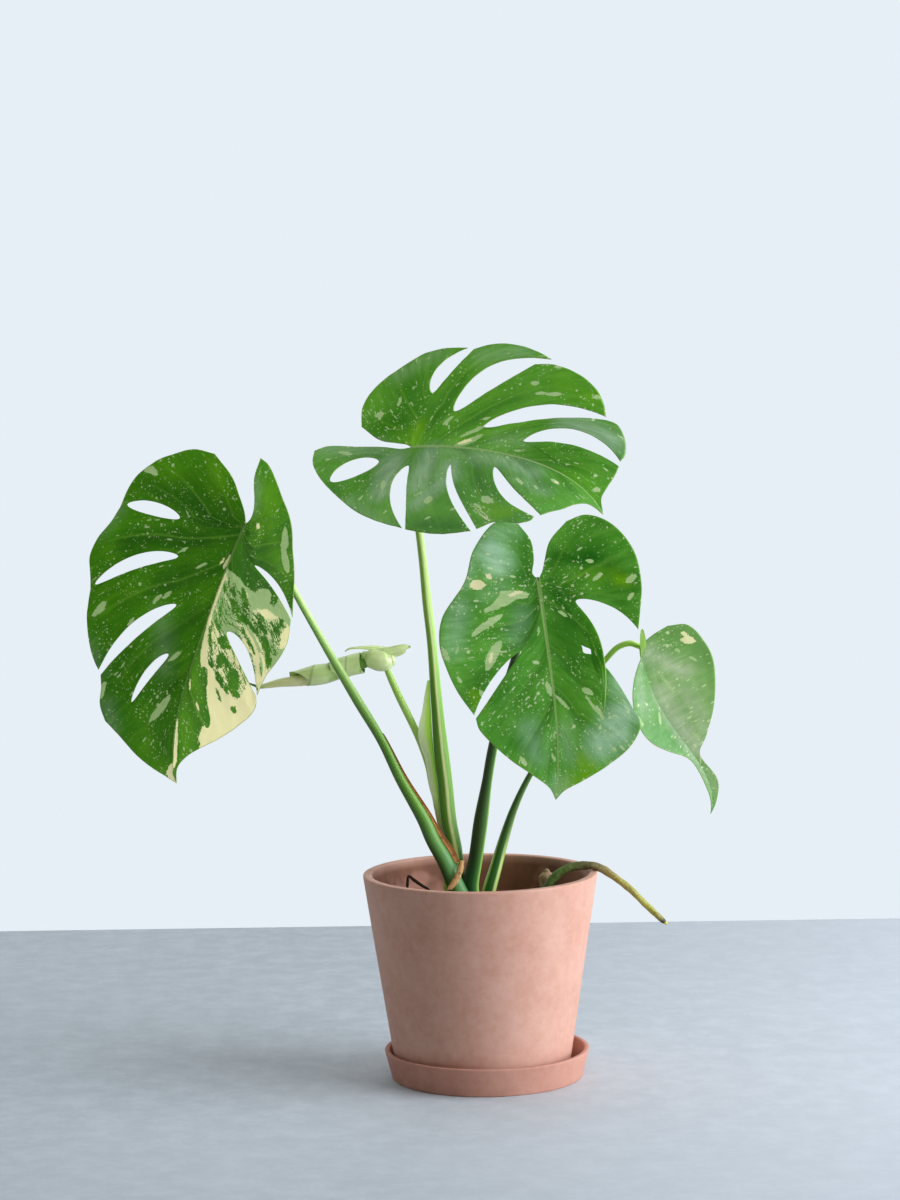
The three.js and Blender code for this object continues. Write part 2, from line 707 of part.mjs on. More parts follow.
// Pot: tapered shell with a flat rim, a foot ring and a drain hole
addMesh("pot", "pot_clay", revolve([
  [DRAIN_RADIUS, POT_FOOT_HEIGHT + 2],
  [POT_FOOT_RADIUS - 12, POT_FOOT_HEIGHT + 2],
  [POT_FOOT_RADIUS - 10, POT_FOOT_HEIGHT],
  [POT_FOOT_RADIUS - 1, POT_FOOT_HEIGHT],
  [POT_FOOT_RADIUS, POT_FOOT_HEIGHT + 1.2],
  [POT_FOOT_RADIUS + 2, 18],
  [POT_RIM_RADIUS - 0.5, POT_RIM_HEIGHT - 4],
  [POT_RIM_RADIUS, POT_RIM_HEIGHT - 1.8],
  [POT_RIM_RADIUS - 0.6, POT_RIM_HEIGHT - 0.5],
  [POT_RIM_RADIUS - 1.8, POT_RIM_HEIGHT],
  [POT_RIM_RADIUS - POT_WALL + 1.4, POT_RIM_HEIGHT],
  [POT_RIM_RADIUS - POT_WALL + 0.4, POT_RIM_HEIGHT - 0.5],
  [POT_RIM_RADIUS - POT_WALL, POT_RIM_HEIGHT - 1.6],
  [POT_FOOT_RADIUS - 5.4, 18],
  [POT_FOOT_RADIUS - 8, POT_FLOOR_HEIGHT + 1.2],
  [POT_FOOT_RADIUS - 11, POT_FLOOR_HEIGHT],
  [DRAIN_RADIUS, POT_FLOOR_HEIGHT],
  [DRAIN_RADIUS, POT_FOOT_HEIGHT + 2],
], 56));

// Soil: a lumpy fill just clear of the pot's wall, with a plain hole for each stem and root
function soilBody() {
  const rings = 6;
  const sides = 32;
  const wallAt = (z) => POT_FOOT_RADIUS - 5.4 + ((z - 18) / (POT_RIM_HEIGHT - 19.6)) * 24.1 - GAP;
  const rim = wallAt(SOIL_HEIGHT + SOIL_BUMP) - 0.5;
  const vertices = [[0, 0, POT_FLOOR_HEIGHT], [0, 0, SOIL_HEIGHT]];
  const triangles = [];
  for (let k = 0; k < sides; k += 1) {
    const angle = (2 * Math.PI * k) / sides;
    const [cos, sin] = [Math.cos(angle), Math.sin(angle)];
    const foot = POT_FOOT_RADIUS - 11.6;
    vertices.push([foot * cos, foot * sin, POT_FLOOR_HEIGHT]);
    vertices.push([wallAt(18) * cos, wallAt(18) * sin, 18.5]);
    for (let ring = rings; ring > 0; ring -= 1) {
      const [x, y] = [(rim * ring * cos) / rings, (rim * ring * sin) / rings];
      const bump = Math.sin(x * 0.21 + 1) * Math.cos(y * 0.17) + 0.4 * Math.sin(x * 0.4 - y * 0.33);
      vertices.push([x, y, SOIL_HEIGHT + SOIL_BUMP * 0.7 * bump]);
    }
  }
  const rows = rings + 2;
  for (let k = 0; k < sides; k += 1) {
    const here = 2 + k * rows;
    const next = 2 + ((k + 1) % sides) * rows;
    triangles.push([0, next, here]);
    triangles.push([1, here + rows - 1, next + rows - 1]);
    for (let row = 0; row < rows - 1; row += 1) {
      triangles.push([here + row, next + row, next + row + 1]);
      triangles.push([here + row, next + row + 1, here + row + 1]);
    }
  }
  let solid = toManifold(bodyFrom(vertices, triangles));
  for (const hole of soilHoles) {
    const bore = new THREE.CylinderGeometry(hole.radius, hole.radius, 60, 24);
    bore.rotateX(Math.PI / 2);
    bore.translate(hole.x, hole.y, hole.foot + 30);
    solid = solid.subtract(toManifold(closedBody(bore)));
  }
  return fromManifold(solid);
}
addMesh("soil", "soil", soilBody());

// Crown: the short stout stem, straight in the soil and flared where the stalks stand on it
const crown = revolve([
  [0, CROWN.foot],
  [CROWN.radius - 1, CROWN.foot],
  [CROWN.radius, CROWN.foot + 1],
  [CROWN.radius, SOIL_HEIGHT + 3],
  [CROWN.topRadius - 2, CROWN.top - 6],
  [CROWN.topRadius, CROWN.top - 2],
  [CROWN.topRadius - 0.6, CROWN.top],
  [0, CROWN.top],
], 24);
crown.translate(CROWN.x, CROWN.y, 0);
addMesh("crown", "bark", crown);

for (const stem of stems) {
  addMesh(stem.name, stem.slot, stemBody(stem));
}

for (const leaf of [leftLeaf, topLeaf, frontLeaf, rightLeaf]) {
  addMesh(leaf.name, "leaf", bladeBody(leaf));
}

// Sheath strip: a thin sheet of quads that starts just clear of its stem
function sheathBody(sheath) {
  const stem = stems.find((entry) => entry.name === sheath.stem);
  const curve = new THREE.CatmullRomCurve3(stem.line.map((p) => new THREE.Vector3(...p)));
  const last = stem.line.length - 1;
  const count = sheath.reach.length;
  const inner = [];
  const outer = [];
  for (let i = 0; i < count; i += 1) {
    const place = THREE.MathUtils.lerp(sheath.from, sheath.to, i / (count - 1));
    const low = Math.floor(place);
    const radius = THREE.MathUtils.lerp(stem.radius[low], stem.radius[low + 1], place - low);
    const along = curve.getTangent(place / last);
    const across = (direction) => {
      const vector = new THREE.Vector3(direction[0], direction[1], 0);
      return vector.addScaledVector(along, -vector.dot(along)).normalize();
    };
    const foot = curve.getPoint(place / last)
      .addScaledVector(across(sheath.seat), radius + GAP + sheath.thickness / 2);
    inner.push(foot);
    outer.push(foot.clone().addScaledVector(across(sheath.spread), sheath.reach[i]));
  }
  const triangles = [];
  for (let i = 0; i < count - 1; i += 1) {
    triangles.push([i, i + 1, count + i + 1], [i, count + i + 1, count + i]);
  }
  return thicken([...inner, ...outer], triangles, sheath.thickness, () => 0);
}

for (const sheath of sheaths) {
  addMesh(sheath.name, sheath.slot, sheathBody(sheath));
}

export default group;
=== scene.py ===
import math
import bpy
import numpy as np
from mathutils import Matrix, Vector


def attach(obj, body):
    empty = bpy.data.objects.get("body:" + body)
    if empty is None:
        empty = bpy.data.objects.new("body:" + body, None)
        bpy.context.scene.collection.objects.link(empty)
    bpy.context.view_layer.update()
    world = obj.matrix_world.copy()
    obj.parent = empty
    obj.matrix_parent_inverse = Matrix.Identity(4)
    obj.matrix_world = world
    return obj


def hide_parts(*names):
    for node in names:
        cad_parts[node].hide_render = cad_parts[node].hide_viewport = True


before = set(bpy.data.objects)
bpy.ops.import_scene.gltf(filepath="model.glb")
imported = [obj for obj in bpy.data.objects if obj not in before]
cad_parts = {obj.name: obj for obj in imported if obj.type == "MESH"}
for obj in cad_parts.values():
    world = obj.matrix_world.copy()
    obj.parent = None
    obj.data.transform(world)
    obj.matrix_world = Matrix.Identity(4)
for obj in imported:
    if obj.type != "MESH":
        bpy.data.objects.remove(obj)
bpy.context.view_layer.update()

print("frame loaded:", len(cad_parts), "nodes")

# Everything below is written in millimetres and put into the meshes in metres
millimetre = 0.001


# Smooth line through points: between two neighbours a cubic, whose end slopes come from the four nearest
# points, weighted by the square root of the distances between them. Places run from 0 to 1.
def smoothLine(points, places):
    points = np.asarray(points, float)
    padded = np.vstack([2 * points[0] - points[1], points, 2 * points[-1] - points[-2]])
    at = np.clip(np.asarray(places, float), 0, 1) * (len(points) - 1)
    low = np.minimum(at.astype(int), len(points) - 2)
    w = (at - low)[:, None]
    a, b, c, d = (padded[low + k] for k in range(4))
    steps = (b - a, c - b, d - c)
    ab, bc, cd = (np.linalg.norm(step[:, :3], axis=1)[:, None] ** 0.5 + 1e-9 for step in steps)
    start = bc * ((b - a) / ab - (c - a) / (ab + bc) + (c - b) / bc)
    end = bc * ((c - b) / bc - (d - b) / (bc + cd) + (d - c) / cd)
    return b + start * w + (3 * c - 3 * b - 2 * start - end) * w**2 + (2 * b - 2 * c + start + end) * w**3


def smoothStep(x):
    x = np.clip(x, 0, 1)
    return x * x * (3 - 2 * x)


# Bell of height 1 and the given width
def bell(x, width):
    return np.exp(-((x / width) ** 2))


def polynomial(coefficients, t):
    return sum(value * t**power for power, value in enumerate(coefficients))


def unit(v):
    return v / np.maximum(np.linalg.norm(v, axis=-1, keepdims=True), 1e-12)


# Four corners of each cell of a grid with the given rows and columns
def gridQuads(rows, columns, offset=0, flip=False):
    i, k = np.meshgrid(np.arange(rows - 1), np.arange(columns - 1), indexing="ij")
    first = (i * columns + k).ravel() + offset
    quads = np.stack([first, first + 1, first + columns + 1, first + columns], 1)
    return quads[:, ::-1] if flip else quads


# Two arrays, spread to one shape, as a list of pairs
def pairs(a, b):
    return np.stack(np.broadcast_arrays(a, b), -1).reshape(-1, 2)


# Corners in one place, to half a micrometre: the first corner of each place, and the place of each corner
def weld(corners, stepsPerMillimetre=2000):
    keys = np.round(corners * stepsPerMillimetre).astype(np.int64)
    _, first, shared = np.unique(keys, axis=0, return_index=True, return_inverse=True)
    return first, shared.reshape(-1)


def addObject(name, data):
    made = bpy.data.objects.new(name, data)
    bpy.context.scene.collection.objects.link(made)
    return made


# Puts arrays of corners and quads into a mesh. Corners in the same place become one, and a quad that
# loses a corner so becomes a triangle. Maps are two numbers per corner, fields are one.
def makePiece(name, corners, quads, materials, maps=None, fields=None, materialOf=None, flatOf=None):
    first, shared = weld(corners)
    welded = shared[quads]
    repeats = welded == np.roll(welded, -1, axis=1)
    lost = repeats.sum(1)
    fours = quads[lost == 0]
    threes = quads[lost == 1][~repeats[lost == 1]].reshape(-1, 3)
    order = np.concatenate([np.flatnonzero(lost == 0), np.flatnonzero(lost == 1)])
    mesh = bpy.data.meshes.new(name)
    mesh.from_pydata(corners[first] * millimetre, [], shared[fours].tolist() + shared[threes].tolist())
    loops = np.concatenate([fours.ravel(), threes.ravel()])
    for key, values in (maps or {}).items():
        mesh.uv_layers.new(name=key).data.foreach_set("uv", values[loops].astype(np.float32).ravel())
    for key, values in (fields or {}).items():
        mesh.attributes.new(key, "FLOAT", "POINT").data.foreach_set("value", values[first].astype(np.float32))
    flat = np.zeros(len(quads), bool) if flatOf is None else flatOf
    mesh.polygons.foreach_set("use_smooth", ~flat[order])
    for material in materials:
        mesh.materials.append(material)
    if materialOf is not None:
        mesh.polygons.foreach_set("material_index", materialOf[order].astype(np.int32))
    mesh.update()
    mesh.validate()
    piece = addObject(name, mesh)
    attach(piece, "root")
    return piece


# Directions across a path: the first is straight back (+Y) made square to the path, the second is square to both
def acrossPath(line):
    along = unit(np.gradient(line, axis=0))
    back = np.array([0.0, 1.0, 0.0])
    across = unit(back - along * (along @ back)[:, None])
    return along, across, np.cross(along, across)


# Tube: each ring is the path's point plus a radius in each direction round it. rings is a function of the
# place along the path and the turn round it (0 back, 0.25 left, 0.5 front, 0.75 right) that scales the radius.
# Both ends are rounded over by shrinking the last rings as a quarter circle does, and closed at a pole. A square
# foot starts level and leans into the path over its first rings.
def tube(line, radius, sides=28, steps=120, rings=None, caps=(1.0, 1.0), squareFoot=False, capSteps=6, footSteps=8):
    t = np.linspace(0, 1, steps)
    path = smoothLine(np.column_stack([line, radius]), t)
    centre, r = path[:, :3], path[:, 3]
    along, across, beside = acrossPath(centre)
    if squareFoot:
        blend = smoothStep(np.arange(steps) / footSteps)[:, None]
        along = unit(along * blend + np.array([0, 0, 1.0]) * (1 - blend))
        across = unit(np.array([0, 1.0, 0]) - along * along[:, 1:2])
        beside = np.cross(along, across)
    run = np.concatenate([[0], np.cumsum(np.linalg.norm(np.diff(centre, axis=0), axis=1))])
    capAt = np.sin(np.linspace(0, np.pi / 2, capSteps + 1))[:-1]
    starts = centre[0] - along[0] * r[0] * caps[0] * (1 - capAt)[:, None]
    ends = centre[-1] + along[-1] * r[-1] * caps[1] * (1 - capAt)[::-1][:, None]
    shrink = np.sqrt(1 - (1 - capAt) ** 2)
    centre = np.vstack([starts, centre, ends])
    r = np.concatenate([r[0] * shrink, r, r[-1] * shrink[::-1]])

    def extend(values):
        return np.concatenate([np.repeat(values[:1], capSteps, 0), values, np.repeat(values[-1:], capSteps, 0)])

    across, beside, t, run = (extend(values) for values in (across, beside, t, run))
    turn = np.linspace(0, 1, sides + 1)
    angle = 2 * np.pi * turn
    scale = np.ones((len(t), sides + 1)) if rings is None else rings(t[:, None], turn[None, :], run[:, None])
    out = r[:, None] * scale
    points = centre[:, None] + across[:, None] * (out * np.cos(angle))[..., None]
    points += beside[:, None] * (out * np.sin(angle))[..., None]
    points[:, -1] = points[:, 0]
    points[0], points[-1] = centre[0], centre[-1]
    skin = pairs(turn, run[:, None] * millimetre)
    return points.reshape(-1, 3), gridQuads(len(t), sides + 1), skin, np.repeat(t, sides + 1)


# Body of revolution round the Z axis through (shiftX, 0): profile points (radius, height), each carried round
def revolve(profile, sides, shiftX=0.0, wobble=None):
    profile = np.asarray(profile, float)
    turn = np.linspace(0, 1, sides + 1)
    angle = 2 * np.pi * turn
    radius = np.repeat(profile[:, :1], sides + 1, 1)
    height = np.repeat(profile[:, 1:], sides + 1, 1)
    if wobble is not None:
        radius = radius + wobble(radius, height, angle)
    points = np.stack([shiftX + radius * np.sin(angle), radius * np.cos(angle), height], -1)
    points[:, -1] = points[:, 0]
    run = np.concatenate([[0], np.cumsum(np.linalg.norm(np.diff(profile, axis=0), axis=1))])
    return points.reshape(-1, 3), gridQuads(len(profile), sides + 1), pairs(turn, run[:, None] * millimetre)


# Profile with rounded corners: each corner (radius, height, rounding) becomes a quadratic arc between points
# that lie the rounding's length before and after it; the straight runs get a step about every spacing
def roundedProfile(corners, spacing=6.0, arcSteps=6):
    spots = np.array([corner[:2] for corner in corners], float)
    pieces = [spots[:1]]
    t = np.linspace(0, 1, arcSteps)[:, None]
    for i in range(1, len(spots)):
        here, before = spots[i], spots[i - 1]
        reach = corners[i][2] if i < len(spots) - 1 else 0
        toBefore = unit(before - here)
        start = here + toBefore * min(reach, np.linalg.norm(before - here) * 0.49)
        last = pieces[-1][-1]
        count = max(int(np.linalg.norm(start - last) / spacing), 1)
        pieces.append(last + (start - last) * np.linspace(0, 1, count + 1)[1:, None])
        if reach:
            after = spots[i + 1]
            end = here + unit(after - here) * min(reach, np.linalg.norm(after - here) * 0.49)
            pieces.append(((1 - t) ** 2 * start + 2 * t * (1 - t) * here + t**2 * end)[1:])
    return np.vstack(pieces)


# Smooth bumps: a sum of sine waves with set lengths and seeded directions and phases, about -1 to 1
def bumps(points, length, seed, waves=9):
    generator = np.random.default_rng(seed)
    total = np.zeros(points.shape[:-1])
    for _ in range(waves):
        direction = unit(generator.normal(size=points.shape[-1]))
        wave = direction * 2 * np.pi / (length * generator.uniform(0.6, 1.5))
        total += np.sin(points @ wave + generator.uniform(0, 2 * np.pi))
    return total / waves**0.5 * 0.7


# Three numbers are a colour as it is picked on a screen, 0 to 255, and are made linear here. Four numbers are
# linear already, and a socket stays a socket.
def linearColour(value):
    if not isinstance(value, tuple) or len(value) == 4:
        return value
    share = np.array(value) / 255
    linear = np.where(share <= 0.04045, share / 12.92, ((share + 0.055) / 1.055) ** 2.4)
    return (*[float(v) for v in linear], 1.0)


# Node tree under construction: each method adds a node and returns its result, so a surface reads as a formula
class Nodes:
    def __init__(self, owner, output):
        owner.use_nodes = True
        self.tree = owner.node_tree
        self.tree.nodes.clear()
        self.output = self.add(output)

    def add(self, kind, inputs=None, **settings):
        made = self.tree.nodes.new("ShaderNode" + kind)
        for key, value in settings.items():
            setattr(made, key, value)
        for key, value in (inputs or {}).items():
            if isinstance(value, bpy.types.NodeSocket):
                self.tree.links.new(value, made.inputs[key])
            else:
                made.inputs[key].default_value = value
        return made

    def object(self, scale=None):
        place = self.add("TexCoord").outputs["Object"]
        return place if scale is None else self.add("Mapping", {"Vector": place, "Scale": scale}).outputs[0]

    def map(self, name, scale=(1, 1, 1)):
        place = self.add("UVMap", uv_map=name).outputs[0]
        return self.add("Mapping", {"Vector": place, "Scale": scale}).outputs[0]

    def field(self, name):
        return self.add("Attribute", attribute_name=name).outputs["Fac"]

    def axes(self, place):
        return self.add("SeparateXYZ", {0: place}).outputs

    def math(self, operation, a, b=0.0):
        return self.add("Math", {0: a, 1: b}, operation=operation).outputs[0]

    def times(self, a, b):
        return self.math("MULTIPLY", a, b)

    def plus(self, a, b):
        return self.math("ADD", a, b)

    def minus(self, a, b):
        return self.math("SUBTRACT", a, b)

    def larger(self, a, b):
        return self.math("MAXIMUM", a, b)

    # Straight change from low to high of a value, kept between the two results
    def between(self, value, low, high, start=0.0, end=1.0, smooth=False):
        kind = "SMOOTHSTEP" if smooth else "LINEAR"
        inputs = {"Value": value, "From Min": low, "From Max": high, "To Min": start, "To Max": end}
        return self.add("MapRange", inputs, interpolation_type=kind).outputs[0]

    def mix(self, share, a, b, blend="MIX"):
        inputs = {0: share, 6: linearColour(a), 7: linearColour(b)}
        return self.add("Mix", inputs, data_type="RGBA", blend_type=blend).outputs[2]

    # Colour pulled towards another by up to a share: where a value rises from low to high, or as a field says
    def tint(self, base, colour, value, low, high, share=1.0):
        return self.mix(self.between(value, low, high, 0.0, share), base, colour)

    def blend(self, base, colour, field, share):
        return self.mix(self.times(field, share), base, colour)

    def noise(self, place, scale, detail=3.0, rough=0.5):
        inputs = {"Vector": place, "Scale": scale, "Detail": detail, "Roughness": rough}
        return self.add("TexNoise", inputs).outputs["Fac"]

    def cells(self, place, scale, feature="F1", output="Distance"):
        return self.add("TexVoronoi", {"Vector": place, "Scale": scale}, feature=feature).outputs[output]

    # One seeded number for each cell
    def cellTone(self, place, scale):
        return self.add("SeparateColor", {0: self.cells(place, scale, output="Color")}).outputs[0]

    def ramp(self, value, stops):
        made = self.add("ValToRGB", {"Fac": value})
        band = made.color_ramp
        while len(band.elements) < len(stops):
            band.elements.new(0.5)
        for element, (position, colour) in zip(band.elements, stops):
            element.position = position
            element.color = linearColour(colour)
        return made.outputs["Color"]

    def bump(self, height, depth, strength):
        return self.add("Bump", {"Height": height, "Distance": depth, "Strength": strength}).outputs[0]

    def show(self, shader):
        self.tree.links.new(shader.outputs[0], self.output.inputs["Surface"])


class Finish(Nodes):
    def __init__(self, name):
        self.material = bpy.data.materials.new(name)
        super().__init__(self.material, "OutputMaterial")

    def surface(self, inputs):
        self.show(self.add("BsdfPrincipled", inputs))

    # Surface that also lets light from behind through in its own colour
    def thinSurface(self, inputs, glow, share):
        shader = self.add("BsdfPrincipled", inputs)
        through = self.add("BsdfTranslucent", {"Color": linearColour(glow)})
        self.show(self.add("MixShader", {0: share, 1: shader.outputs[0], 2: through.outputs[0]}))


pot = {
    "rimRadius": 100.0,
    "rimHeight": 175.0,
    "footRadius": 73.8,
    "footHeight": 5.0,
    "flare": 2.0,
    "flareHeight": 18.0,
    "wall": 7.5,
    "floorHeight": 11.0,
    "drainRadius": 10.0,
    "sides": 240,
    "seamTurn": 0.305,
}

# Scales are in features per metre and depths in metres, as in all finishes below. The seam's width is a share of
# a turn, and it runs up between two heights
clay = {
    "clouds": 9.0,
    "patches": 34.0,
    "levels": 6.0,
    "levelStretch": (1, 1, 9),
    "mottles": 130.0,
    "grain": 900.0,
    "pits": 210.0,
    "pitGroups": 60.0,
    # Patterns of the painted shade and light inside the pot
    "shadePatches": 22.0,
    "shadePatchStretch": (1, 1, 0.5),
    "lightPatches": 15.0,
    "seamWidth": 0.0016,
    "seamFrom": 0.118,
    "seamTo": 0.135,
    "relief": 0.00035,
}


# Fired clay-coloured finish: pale dusty pink, mottled in soft clouds and faint level bands, with small pits. The
# seam is a thin line up the pot's front, and the inside has painted shade, darker and browner in patches, with pale
# pink patches of painted light
def clayFinish(name, light, mid, deep, seamTurn=None, inside=None):
    f = Finish(name)
    place = f.object()
    clouds = f.noise(place, clay["clouds"], 4.0, 0.55)
    patches = f.noise(place, clay["patches"], 4.0, 0.6)
    level = f.noise(f.object(clay["levelStretch"]), clay["levels"], 3.0, 0.5)
    base = f.mix(f.between(clouds, 0.15, 0.75), deep, mid)
    base = f.tint(base, light, patches, 0.4, 0.8, 0.5)
    mottles = f.noise(place, clay["mottles"], 4.0, 0.7)
    base = f.tint(base, light, mottles, 0.35, 0.7, 0.38)
    base = f.tint(base, light, level, 0.45, 0.75, 0.16)
    grain = f.noise(place, clay["grain"], 3.0, 0.7)
    base = f.tint(base, deep, grain, 0.35, 0.75, 0.3)
    pitMask = f.between(f.cells(place, clay["pits"]), 0.05, 0.14, 1.0, 0.0)
    pitMask = f.times(pitMask, f.between(f.noise(place, clay["pitGroups"], 2.0), 0.6, 0.64))
    base = f.blend(base, deep, pitMask, 0.45)
    if seamTurn is not None:
        off = f.math("ABSOLUTE", f.minus(f.axes(f.map("around"))[0], seamTurn))
        seam = f.between(off, clay["seamWidth"] / 4, clay["seamWidth"], 1.0, 0.0)
        seam = f.times(seam, f.between(f.axes(place)[2], clay["seamFrom"], clay["seamTo"]))
        base = f.blend(base, deep, seam, 0.3)
    if inside is not None:
        # Painted shade inside the pot in two browns, and pale pink patches of painted light
        shadePatches = f.noise(f.object(clay["shadePatchStretch"]), clay["shadePatches"], 4.0, 0.65)
        brown = f.mix(f.between(shadePatches, 0.38, 0.62), inside[0], inside[1])
        lightPatches = f.noise(place, clay["lightPatches"], 3.0, 0.6)
        brown = f.tint(brown, inside[2], lightPatches, 0.52, 0.6, 0.75)
        base = f.mix(f.field("inside"), base, brown)
    height = f.minus(f.times(grain, 0.25), f.times(pitMask, 0.8))
    height = f.plus(height, f.times(patches, 0.9))
    rough = f.between(patches, 0.3, 0.7, 0.62, 0.78)
    normal = f.bump(height, clay["relief"], 0.6)
    f.surface({"Base Color": base, "Roughness": rough, "IOR": 1.45, "Normal": normal})
    return f.material


# Inside the pot: two browns of painted shade and a pale pink of painted light
potInsideShading = ((118, 72, 50), (146, 94, 70), (190, 136, 118))
potClay = clayFinish("potClay", (216, 176, 159), (201, 153, 134), (184, 130, 107), pot["seamTurn"], potInsideShading)
saucerClay = clayFinish("saucerClay", (204, 159, 141), (190, 136, 116), (164, 104, 84))


# Profile corners are (radius, height, rounding): from the drain hole out under the foot, up the wall to the rim
# and back down inside. The wall is out of true by a fraction of a millimetre, as thrown pots are.
def makePot():
    rim, top, foot, low = pot["rimRadius"], pot["rimHeight"], pot["footRadius"], pot["footHeight"]
    drain, floor, wall = pot["drainRadius"], pot["floorHeight"], pot["wall"]
    flare, flareHeight = pot["flare"], pot["flareHeight"]
    slope = (rim - foot - flare) / (top - flareHeight)
    profile = roundedProfile([
        (drain, low + 4, 0),
        (drain, low + 2, 0.8),
        (foot - 12, low + 2, 1.2),
        (foot - 10, low, 0.9),
        (foot, low, 1.6),
        (foot + flare, flareHeight, 5),
        (rim, top, 1.9),
        (rim - wall, top, 1.6),
        (foot - 5.4 + slope * 0.5, 20, 3),
        (foot - 8, floor, 3),
        (drain, floor, 1.2),
        (drain, low + 4, 0),
    ])
    wobble = lambda r, z, angle: 0.22 * np.sin(2 * angle + 1.0) * (z / top) + 0.12 * np.sin(5 * angle + z / 37)
    corners, quads, around = revolve(profile, pot["sides"], wobble=wobble)
    # The inside field marks the inner wall, where the finish paints shade and light
    depth = foot + flare + (corners[:, 2] - flareHeight) * slope - np.hypot(corners[:, 0], corners[:, 1])
    inside = smoothStep((depth - 4) / 2.5) * smoothStep((top - corners[:, 2]) / 5 + 0.1)
    piece = makePiece("pot_shell", corners, quads, [potClay], maps={"around": around}, fields={"inside": inside})
    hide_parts("pot")


saucer = {
    "rimRadius": 87.5,
    "footRadius": 81.4,
    "height": 24.3,
    "shiftX": 4.0,
    "floorHeight": 5.0,
    "insideRadius": 78.3,
    "sides": 220,
}


def makeSaucer():
    rim, foot, top = saucer["rimRadius"], saucer["footRadius"], saucer["height"]
    inside, floor = saucer["insideRadius"], saucer["floorHeight"]
    profile = roundedProfile([
        (0, 0, 0),
        (foot, 0, 1.4),
        (rim, top, 1.5),
        (rim - 4.4, top, 1.5),
        (inside, floor, 1.6),
        (0, floor - 0.15, 0),
    ])
    wobble = lambda r, z, angle: (r > 20) * 0.15 * np.sin(3 * angle + 0.4)
    corners, quads, around = revolve(profile, saucer["sides"], saucer["shiftX"], wobble)
    piece = makePiece("saucer_dish", corners, quads, [saucerClay], maps={"around": around})
    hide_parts("saucer")


makePot()
makeSaucer()
print("pot and saucer made")


# Bumps of the soil's top are (height, length, seed)
soil = {
    "height": 133.0,
    "rimRadius": 92.3,
    "footRadius": 62.0,
    "floorHeight": 11.2,
    "rings": 70,
    "sides": 200,
    "sideRings": 11,
    "bumps": ((1.5, 42, 3), (0.8, 13, 4), (0.45, 5, 5)),
    "bankFrom": 78,
    "bankWidth": 14,
    "bankHeight": 1.4,
    "sunk": 0.6,
}
crumbs = {
    "count": 620,
    "seed": 11,
    "within": 86,
    "smallest": 1.0,
    "largest": 3.0,
    "least": (0.7, 0.5, 0.3),
    "most": (1.9, 1.0, 0.65),
    "uneven": 0.22,
    "tilt": 0.35,
    "chips": 0.55,
}


# Soil and bark chips: two browns in clumps, with some pale grains
def soilFinish(name, dark, brown, pale, clumpScale=160.0, grainScale=420.0):
    f = Finish(name)
    place = f.object()
    clumps = f.noise(place, clumpScale, 5.0, 0.7)
    base = f.mix(f.between(clumps, 0.35, 0.65), dark, brown)
    base = f.tint(base, pale, f.cellTone(place, grainScale), 0.86, 0.93, 0.8)
    height = f.plus(clumps, f.times(f.cells(place, grainScale), 0.4))
    f.surface({"Base Color": base, "Roughness": 0.95, "Normal": f.bump(height, 0.002, 0.9)})
    return f.material


soilDark = soilFinish("pottingSoil", (38, 27, 20), (74, 54, 40), (120, 96, 72))
chipBrown = soilFinish("barkChips", (66, 44, 30), (110, 78, 54), (150, 120, 88))


# Soil top height above a place: three sizes of bumps, and a low bank against the pot's wall
def soilTop(x, y):
    spot = np.stack([x, y], -1)
    low = sum(height * bumps(spot, length, seed) for height, length, seed in soil["bumps"])
    bank = soil["bankHeight"] * smoothStep((np.hypot(x, y) - soil["bankFrom"]) / soil["bankWidth"])
    return soil["height"] + low + bank - soil["sunk"]


def makeSoil():
    turn = np.linspace(0, 2 * np.pi, soil["sides"] + 1)
    radius = np.linspace(0, 1, soil["rings"])[:, None] * soil["rimRadius"]
    x, y = radius * np.sin(turn), radius * np.cos(turn)
    top = np.stack([x, y, soilTop(x, y)], -1)
    fall = np.linspace(0, 1, soil["sideRings"] + 1)[1:, None]
    edge = soil["rimRadius"] + (soil["footRadius"] - soil["rimRadius"]) * fall**1.02
    depth = top[-1, :, 2] + (soil["floorHeight"] - top[-1, :, 2]) * fall
    side = np.stack(np.broadcast_arrays(edge * np.sin(turn), edge * np.cos(turn), depth), -1)
    underside = side[-1:] * [0, 0, 1]
    corners = np.vstack([top, side, underside])
    corners[:, -1] = corners[:, 0]
    quads = gridQuads(len(corners), soil["sides"] + 1, flip=True)
    piece = makePiece("soil_bed", corners.reshape(-1, 3), quads, [soilDark])
    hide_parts("soil")


# Turns two of the three coordinates of each lump by its angle
def spun(local, angle, first, second):
    cos, sin = np.cos(angle)[:, None], np.sin(angle)[:, None]
    turned = local.copy()
    turned[..., first] = cos * local[..., first] - sin * local[..., second]
    turned[..., second] = sin * local[..., first] + cos * local[..., second]
    return turned


